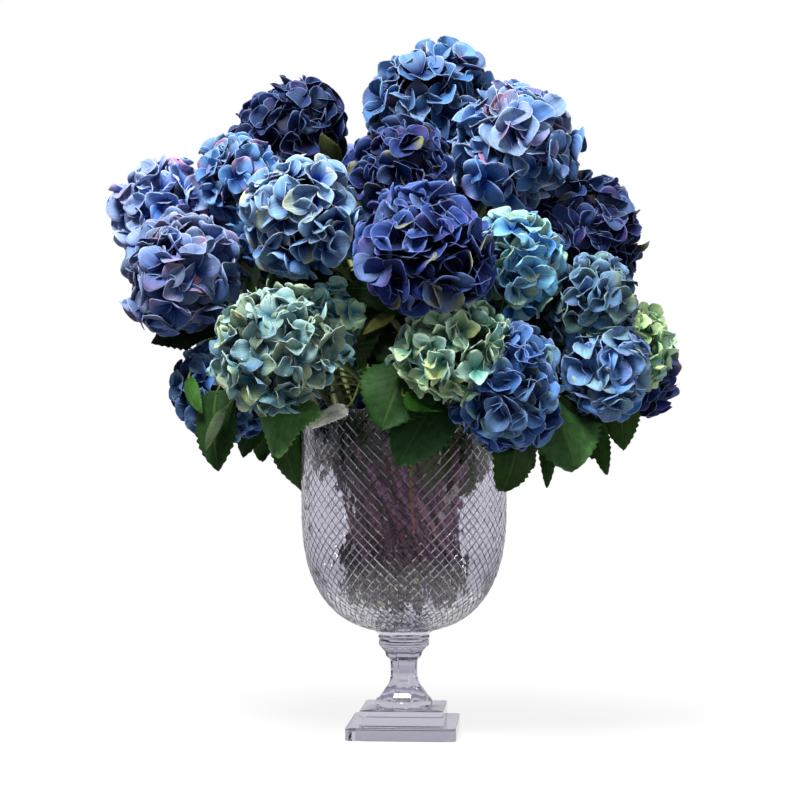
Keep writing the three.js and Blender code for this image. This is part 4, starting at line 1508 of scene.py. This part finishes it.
    def shoot_path(self, bloom: Bloom, draw: np.random.Generator) -> np.ndarray:
        """The centreline of a side shoot of a stem, from its own cut end to where the two join.

        Args:
            bloom: The stem's head.
            draw: Source of the random draws.

        Returns:
            Points from below upwards.
        """
        height = draw.uniform(*self.shoot_feet)
        near = self.on_line(bloom, height)
        turn = math.atan2(near[1], near[0]) + draw.uniform(-self.shoot_turn, self.shoot_turn)
        reach = draw.uniform(*self.shoot_reach) * (self.bowl.inner_radius(height) - self.shoot_room)
        foot = polar(reach, turn, height)
        top = self.on_line(bloom, self.straight_top - self.shoot_join)
        share = np.linspace(0, 1, self.shoot_points)[:, None]
        bow = draw.normal(0, self.shoot_bow, 3) * np.array([1, 1, 0])
        return foot + (top - foot) * share + bow * np.sin(np.pi * share)

    def woody_tube(self, path: np.ndarray, radius: float, draw: np.random.Generator) -> Skin:
        """Makes a stem with its knots and its slanted cut.

        Args:
            path: The stem's centreline from its cut end.
            radius: Its radius at the knots.
            draw: Source of the random draws.

        Returns:
            The stem's skin.
        """
        along = unit(path[1] - path[0])
        path = np.concatenate([path[:1], path[:1] + along * self.cut_length, path[1:]])
        count = len(path)
        knots = np.zeros(count)
        knots[draw.integers(*self.first_knot) :: self.knot_steps] = 1
        radii = radius * (self.slim + (1 - self.slim) * knots)
        aged = smooth_step(*self.ageing, path[:, 2] + draw.normal(0, self.ageing_spread, count))
        tints = mixed(linear(self.bark), linear(self.cane), aged)
        patches = (draw.uniform(0, 1, count) < self.patch_share) * draw.uniform(*self.patch_strengths, count)
        rusty = self.rusty_strength * (draw.uniform(0, 1) < self.rusty_share)
        tints = mixed(tints, linear(self.rust), np.maximum(patches, rusty) * (1 - aged))
        # Painted shade: the stems darken towards the bottom of the bowl
        painted_shade_fade = self.foot_shade + (1 - self.foot_shade) * smooth_step(*self.painted_shade_fade, path[:, 2])
        tints = tints * (draw.uniform(*self.stem_tones) * painted_shade_fade)[:, None]
        if draw.uniform(0, 1) < self.pale_share:
            tints[0] = linear(self.pith)
        skin = closed_tubes(path[None], radii[None], self.stem_sides, tints[None])

        # The cut slants towards the wall of the bowl
        outward = outwards(path[0])
        slant = self.cut_slant * unit(outward - along * (outward @ along))
        for ring in (0, 1):
            rim = slice(ring * self.stem_sides, (ring + 1) * self.stem_sides)
            skin.points[rim] += ((skin.points[rim] - path[ring]) @ slant)[:, None] * along
        return skin

    def fresh_shoot(self) -> Skin:
        """Makes the one green shoot in front of the bundle, brown towards its foot.

        Returns:
            The shoot's skin.
        """
        path = bezier([np.array(point, float) for point in self.fresh_line], self.fresh_steps)
        radii = np.full((1, len(path)), self.fresh_radius)
        tints = mixed(linear(self.rust), linear(self.fresh), smooth_step(*self.fresh_from, path[:, 2]))
        return closed_tubes(path[None], radii, self.stem_sides, tints[None])

    def inner_leaf(self, bloom: Bloom, draw: np.random.Generator) -> Leaf:
        """Places a dark leaf that hangs down inside the bowl's rim.

        Args:
            bloom: The stem's head.
            draw: Source of the random draws.

        Returns:
            The leaf.
        """
        base = self.on_line(bloom, draw.uniform(*self.inner_heights))
        outward = outwards(base)
        aside = np.array([-outward[1], outward[0], 0.0])
        drop = np.array([0, 0, -draw.uniform(*self.inner_drops)])
        inwards = outward * draw.uniform(*self.inner_inwards)
        tip = base + drop + inwards + aside * draw.uniform(*self.inner_aside)
        dye = self.inner_dyes[draw.integers(len(self.inner_dyes))]
        width = draw.uniform(*self.inner_widths)
        return Leaf(bloom.name, float(base[2]) + self.inner_hold, tuple(base), tuple(tip), width, dye,
                    inside=True, rows=13, columns=5)

    def under_leaves(self, bloom: Bloom, path: np.ndarray, draw: np.random.Generator) -> list[Leaf]:
        """Places the dark leaves that sit on a stem below its head, off the other heads and the bowl; their
        near-black dyes partly paint the shade between the heads.

        Args:
            bloom: The stem's head.
            path: The stem's centreline.
            draw: Source of the random draws.

        Returns:
            The first leaves that are free of the other heads and whose tips don't hang far below the rim.
        """
        gaps = np.linalg.norm(path - bloom.middle, axis=1)
        node = path[np.argmin(np.abs(gaps - self.under_reach * bloom.radius))]
        first, second = cross_axes(bloom.axis)
        out_to, back_to = self.under_base
        ways = draw.uniform(0, np.pi) + np.arange(self.under_tries) * self.under_turn
        found = []
        for way in ways + draw.normal(0, self.under_spread, self.under_tries):
            out = first * math.cos(way) + second * math.sin(way)
            base = node + out * out_to - bloom.axis * back_to
            tip = (base + out * draw.uniform(*self.under_lengths) * bloom.radius
                   + bloom.axis * draw.uniform(*self.under_lifts))
            # The near-black dye partly paints the shade between the heads
            dye = self.under_dyes_and_painted_shade[draw.integers(len(self.under_dyes_and_painted_shade))]
            free = all(np.linalg.norm(spot - other.middle) > other.radius for other in self.blooms
                       for spot in (tip, (base + tip) / 2) if other is not bloom)
            if free and tip[2] > self.bowl.rim_height - self.overhang:
                found.append(Leaf(bloom.name, float(node[2]), tuple(base), tuple(tip),
                                  self.under_width * bloom.radius, dye, rows=15, columns=7))
        return found[:self.under_most]

    def clear_of_neighbours(self, points: np.ndarray) -> np.ndarray:
        """Moves points of a leaf out of the heads and out of the bowl.

        Args:
            points: The leaf's points.

        Returns:
            The moved points.
        """
        moved = points.copy()
        for _ in range(self.passes):
            for bloom in self.blooms:
                away = moved - bloom.middle
                reach = np.linalg.norm(away, axis=-1, keepdims=True)
                least = self.head_room * bloom.radius + self.clearance
                moved = np.where(reach < least, bloom.middle + away * least / np.maximum(reach, 1e-6), moved)
            reach = np.hypot(moved[..., 0], moved[..., 1])
            least = self.bowl.radius + self.clearance
            inside = (moved[..., 2] < self.bowl.rim_height + self.clearance) & (reach < least)
            moved[..., :2] *= np.where(inside, least / np.maximum(reach, 1e-6), 1)[..., None]
        return moved

    def kept_in_bowl(self, points: np.ndarray) -> np.ndarray:
        """Moves points of a leaf inside the bowl off its wall.

        Args:
            points: The leaf's points.

        Returns:
            The moved points.
        """
        reach = np.hypot(points[..., 0], points[..., 1])
        scale = np.minimum(1, (self.bowl.radius - self.wall_room) / np.maximum(reach, 1e-6))
        return points * np.stack([scale, scale, np.ones(scale.shape)], -1)

    def leaf_skins(self, leaf: Leaf, path: np.ndarray, draw: np.random.Generator) -> list[Skin]:
        """Makes a leaf and its stalk.

        Args:
            leaf: The leaf.
            path: The centreline of its stem.
            draw: Source of the random draws.

        Returns:
            The skins of the blade and of the stalk.
        """
        shaped = leaf.surface(draw)
        surface = self.kept_in_bowl(shaped) if leaf.inside else self.clear_of_neighbours(shaped)
        spine = surface[:, leaf.columns // 2]
        base = spine[0]
        start = path[np.argmin(np.abs(path[:, 2] - leaf.at))]
        reach = np.linalg.norm(base - start)
        near, far = self.petiole_handles
        corners = [start, start + near * (base - start) + np.array([0, 0, self.petiole_rise * reach]),
                   base - unit(spine[2] - base) * far * reach, spine[1]]
        stalk = bezier(corners, self.petiole_steps)[None]
        radii = np.full(stalk.shape[:2], self.petiole_radius)
        tints = np.broadcast_to(linear(self.petiole), stalk.shape)
        along, across = sheet_grid(leaf.rows, leaf.columns)
        places = np.stack([along, across, np.full(along.shape, draw.uniform())], -1)
        blade = closed_sheets(surface[None, :, ::-1], leaf.thickness, leaf.tints()[None], places[None],
                              finish=1)
        return [blade, closed_tubes(stalk, radii, self.petiole_sides, tints)]

    def build(self) -> None:
        """Makes every head and every stem with its leaves."""
        self.share_circle()
        stalk = WrappedStem().material("moulded plastic stem")
        blade = WaxedLeaf().material("coated cloth leaf")
        for place, bloom in enumerate(self.blooms):
            bloom.build(self.blooms, stalk, HEAD_SEED + place)
            draw = np.random.default_rng(STEM_SEED + place)
            path = self.stem_path(bloom)
            skins = [self.woody_tube(path, self.stem_radius, draw)]
            for _ in range(self.shoots):
                skins.append(self.woody_tube(self.shoot_path(bloom, draw), self.shoot_radius, draw))
            if bloom.name == self.fresh_stem:
                skins.append(self.fresh_shoot())
            own = [leaf for leaf in self.leaves if leaf.stem == bloom.name]
            draw = np.random.default_rng(LEAF_SEED + place)
            inner = [self.inner_leaf(bloom, draw)] if bloom.ring > 0 else []
            for leaf in own + inner + self.under_leaves(bloom, path, draw):
                skins.extend(self.leaf_skins(leaf, path, draw))
            slot = "leafy_stem" if own else "bare_stem"
            build_piece(f"stalk_{bloom.name}", skins, [stalk, blade], slot, f"stem_{bloom.name}")


class Section(Enum):
    """The outlines that the foot's rings take."""

    SQUARE = "square"
    PANEL = "panel"
    ROUND = "round"


@dataclass
class SquareFoot:
    """The crystal foot: two square steps, a panel-cut baluster and a collar with two beads.

    Attributes:
        plate: Half the side of the lower step.
        step: Half the side of the upper step.
        places: Points round a ring.
        corner: Radius of the steps' corners.
        corner_ease: How sharply a superellipse turns such a corner.
        baluster: Half widths and heights of the eight-sided rings.
        collar: Radii and heights of the round rings.
        hollow: How far a panel is cut in.
        scallop: How far a panel of the baluster's foot swells out.
        scallop_top: Where that foot ends.
    """

    plate: float = 73
    plate_height: float = 17
    step: float = 56
    step_top: float = 37
    places: int = 96
    corner: float = 0.8
    corner_ease: float = 0.4
    bevel: float = 0.6
    baluster: tuple[Pair, ...] = (
        (35.8, 38.2), (37, 41), (36.6, 44.5), (35.2, 46.6), (33.2, 48.6), (31, 51.3), (28.2, 55.6),
        (25.5, 59.8), (22.6, 63.8), (20.4, 67.4), (19.2, 71), (18.2, 75), (17.7, 79), (17.5, 86), (17.6, 93),
        (18, 97.6), (18.8, 100.6), (21.4, 102.8), (23.6, 104.6), (24.2, 107.6), (25, 110.6), (27.6, 113.4),
        (29.6, 116))
    collar: tuple[Pair, ...] = (
        (32.4, 117.6), (33.6, 118.8), (34.1, 121), (34.2, 124), (33.8, 126.2), (32.6, 127.6), (33.4, 128.4),
        (34.6, 129.4), (35, 130.6), (34.6, 131.8), (33.5, 132.7))
    hollow: float = 0.012
    scallop: float = 0.05
    scallop_top: float = 47

    def ring(self, section: Section, half: float, height: float) -> np.ndarray:
        """One ring of the foot.

        Args:
            section: The outline.
            half: Half its width across the flats, or its radius.
            height: Height above the table.

        Returns:
            Points, counter-clockwise seen from above.
        """
        turn = 2 * np.pi * (np.arange(self.places) + 0.5) / self.places
        reach = half
        if section is Section.SQUARE:
            power = 2 / (self.corner_ease * (self.corner / half))
            reach = half / (np.abs(np.cos(turn)) ** power + np.abs(np.sin(turn)) ** power) ** (1 / power)
        elif section is Section.PANEL:
            local = (turn + np.pi / 8) % (np.pi / 4) - np.pi / 8
            bow = self.scallop if height < self.scallop_top else -self.hollow
            reach = half / np.cos(local) + bow * half * np.cos(4 * local) ** 2
        return polar(reach, turn, height)

    def build(self, glass: bpy.types.Material) -> None:
        """Makes the foot and dresses it.

        Args:
            glass: The glass.
        """
        cut = self.bevel
        squares = ((self.plate - cut, 0), (self.plate, cut), (self.plate, self.plate_height - cut),
                   (self.plate - cut, self.plate_height), (self.step + cut, self.plate_height),
                   (self.step, self.plate_height + cut), (self.step, self.step_top - cut),
                   (self.step - cut, self.step_top))
        rings = [self.ring(section, half, height) for section, rows in (
            (Section.SQUARE, squares), (Section.PANEL, self.baluster), (Section.ROUND, self.collar))
            for half, height in rows]
        build_piece("square_foot", [lathed_skin(np.stack(rings))], [glass], "cut_glass", "vase_foot")


@dataclass
class Studio:
    """The camera at the photograph's angle, a pale floor and soft light.

    Attributes:
        distance: From the vase's axis to the camera.
        height: Of the camera above the table.
        turn: Degrees that the camera stands to the right of the front.
        aside: How far the vase's axis stands beside the middle of the view.
        pitch: Degrees that the camera looks up.
        sensor: Width of the camera's sensor in millimetres.
        lens: Its focal length in millimetres.
        sky_stops: Colours of the surroundings by height, from 0 straight below to 1 straight above.
        front: Where the surroundings are darker in front of the vase and where that has ended behind it.
        front_share: Brightness of the surroundings in front of the vase against those behind it.
        floor_glow: Share of its white that the floor has from light behind it, which softens the shadow.
        floor_fade: Where the floor starts to fade and where it has faded.
        lamps: Name, place in metres, side in metres and power of each soft lamp.
        lamp_aim: Height in metres that the lamps look at.
    """

    distance: float = 2380
    height: float = 373
    turn: float = 4
    aside: float = -5.4
    pitch: float = 1.865
    sensor: float = 36
    lens: float = 78.75
    sky_stops: tuple[tuple[float, str], ...] = (
        (0.38, "#a4a3ae"), (0.46, "#dddce4"), (0.56, "#e0dfe6"), (0.66, "#3c3c46"), (0.8, "#50505a"),
        (0.95, "#ffffff"))
    front: Pair = (-0.5, 0.4)
    front_share: float = 0.4
    floor_colour: str = "#fbfbfb"
    floor_glow: float = 0.85
    floor_radius: float = 1400
    floor_heights: Pair = (-8.0, -0.4)
    floor_corners: int = 64
    floor_fade: Pair = (210, 600)
    lamps: tuple[tuple[str, Triple, float, float], ...] = (
        ("key", (-0.6, -1.9, 3.1), 1.2, 215), ("fill", (2.4, -1.8, 1.2), 1.6, 18))
    lamp_aim: float = 0.55

    def camera(self) -> None:
        """Puts the camera where the photograph was taken from."""
        turn = math.radians(self.turn)
        data = bpy.data.cameras.new("camera")
        data.sensor_width = self.sensor
        data.lens = self.lens
        camera = placed("camera", data)
        camera.location = (
            (self.distance * math.sin(turn) + self.aside * math.cos(turn)) * MM,
            (-self.distance * math.cos(turn) + self.aside * math.sin(turn)) * MM,
            self.height * MM,
        )
        camera.rotation_euler = (math.radians(90 + self.pitch), 0, turn)
        bpy.context.scene.camera = camera

    def floor(self) -> None:
        """Lays a round pale floor whose edge fades away."""
        turns = 2 * np.pi * np.arange(self.floor_corners) / self.floor_corners
        skin = lathed_skin(np.stack([polar(self.floor_radius, turns, height)
                                     for height in self.floor_heights]))
        mesh = bpy.data.meshes.new("floor")
        mesh.from_pydata((skin.points * MM).tolist(), [], [f for group in skin.faces for f in group.tolist()])
        material, tree = new_material("matt white card")
        where = add_node(tree, "TexCoord")
        reach = add_node(tree, "VectorMath", {"operation": "LENGTH"}, {0: where.outputs["Object"]})
        low, high = self.floor_fade
        fade = add_node(tree, "MapRange", {"interpolation_type": "SMOOTHSTEP"}, {
            "Value": reach.outputs["Value"], "From Min": low * MM, "From Max": high * MM})
        plain = add_node(tree, "BsdfDiffuse", {}, {"Color": rgba(self.floor_colour)})
        lit = add_node(tree, "Emission", {}, {"Color": WHITE, "Strength": 1.0})
        card = add_node(tree, "MixShader", {}, {0: self.floor_glow, 1: plain.outputs[0], 2: lit.outputs[0]})
        clear = add_node(tree, "BsdfTransparent")
        mix = add_node(tree, "MixShader", {}, {
            0: fade.outputs[0], 1: card.outputs[0], 2: clear.outputs[0]})
        add_node(tree, "OutputMaterial", {}, {"Surface": mix.outputs[0]})
        mesh.materials.append(material)
        floor = placed("floor", mesh)

    def lamp(self, name: str, place: Triple, size: float, watts: float) -> None:
        """Hangs a square soft lamp that looks at the bunch.

        Args:
            name: The lamp's name.
            place: Its place in metres.
            size: Its side in metres.
            watts: Its power.
        """
        data = bpy.data.lights.new(name, "AREA")
        data.shape = "SQUARE"
        data.size = size
        data.energy = watts
        lamp = placed(name, data)
        lamp.location = place
        x, y, z = np.array([0, 0, self.lamp_aim]) - np.array(place)
        lamp.rotation_euler = (math.atan2(math.hypot(x, y), -z), 0, math.atan2(-x, y))

    def sky(self) -> None:
        """Surrounds the scene with soft light: white to the camera, brighter above to everything else."""
        world = bpy.data.worlds.new("soft studio")
        world.use_nodes = True
        tree = world.node_tree
        tree.nodes.clear()
        way = add_node(tree, "TexCoord")
        parts = add_node(tree, "SeparateXYZ", {}, {0: way.outputs["Generated"]})
        level = add_node(tree, "MapRange", {}, {"Value": parts.outputs[2], "From Min": -1.0, "From Max": 1.0})
        ramp = add_node(tree, "ValToRGB", {}, {0: level.outputs[0]})
        stops = ramp.color_ramp.elements
        for stop, (position, colour) in zip(stops, (self.sky_stops[0], self.sky_stops[-1])):
            stop.position = position
            stop.color = rgba(colour)
        for position, colour in self.sky_stops[1:-1]:
            stops.new(position).color = rgba(colour)
        low, high = self.front
        strength = add_node(tree, "MapRange", {"interpolation_type": "SMOOTHSTEP"}, {
            "Value": parts.outputs[1], "From Min": low, "From Max": high,
            "To Min": self.front_share, "To Max": 1.0})
        around = add_node(tree, "Background", {}, {"Color": ramp.outputs[0], "Strength": strength.outputs[0]})
        white = add_node(tree, "Background", {}, {"Color": WHITE, "Strength": 1.0})
        path = add_node(tree, "LightPath")
        mix = add_node(tree, "MixShader", {}, {
            0: path.outputs["Is Camera Ray"], 1: around.outputs[0], 2: white.outputs[0]})
        add_node(tree, "OutputWorld", {}, {"Surface": mix.outputs[0]})
        bpy.context.scene.world = world

    def build(self) -> None:
        """Sets up the studio."""
        self.camera()
        self.floor()
        self.sky()
        for lamp in self.lamps:
            self.lamp(*lamp)
        bpy.context.scene.view_settings.view_transform = "Standard"
        bpy.context.scene.view_settings.look = "None"


def main() -> None:
    """Builds the vase, the flowers and the studio, in that order."""
    logging.basicConfig(level=logging.INFO, format="%(name)s %(message)s")
    glass = LeadCrystal().material("polished lead crystal")
    # The cut lines' glass is tinted darker than the polished glass: painted shade in the grooves
    painted_shade_groove = LeadCrystal(colour="#cccad6", roughness=0.04).material("ground lead crystal")
    thick = LeadCrystal(colour="#c9c7d5").material("thick lead crystal")
    SquareFoot().build(thick)
    bowl = CutBowl()
    bowl.build(glass, painted_shade_groove)
    Bunch(BLOOMS, LEAVES, bowl).build()
    Studio().build()


if __name__ == "__main__":
    main()
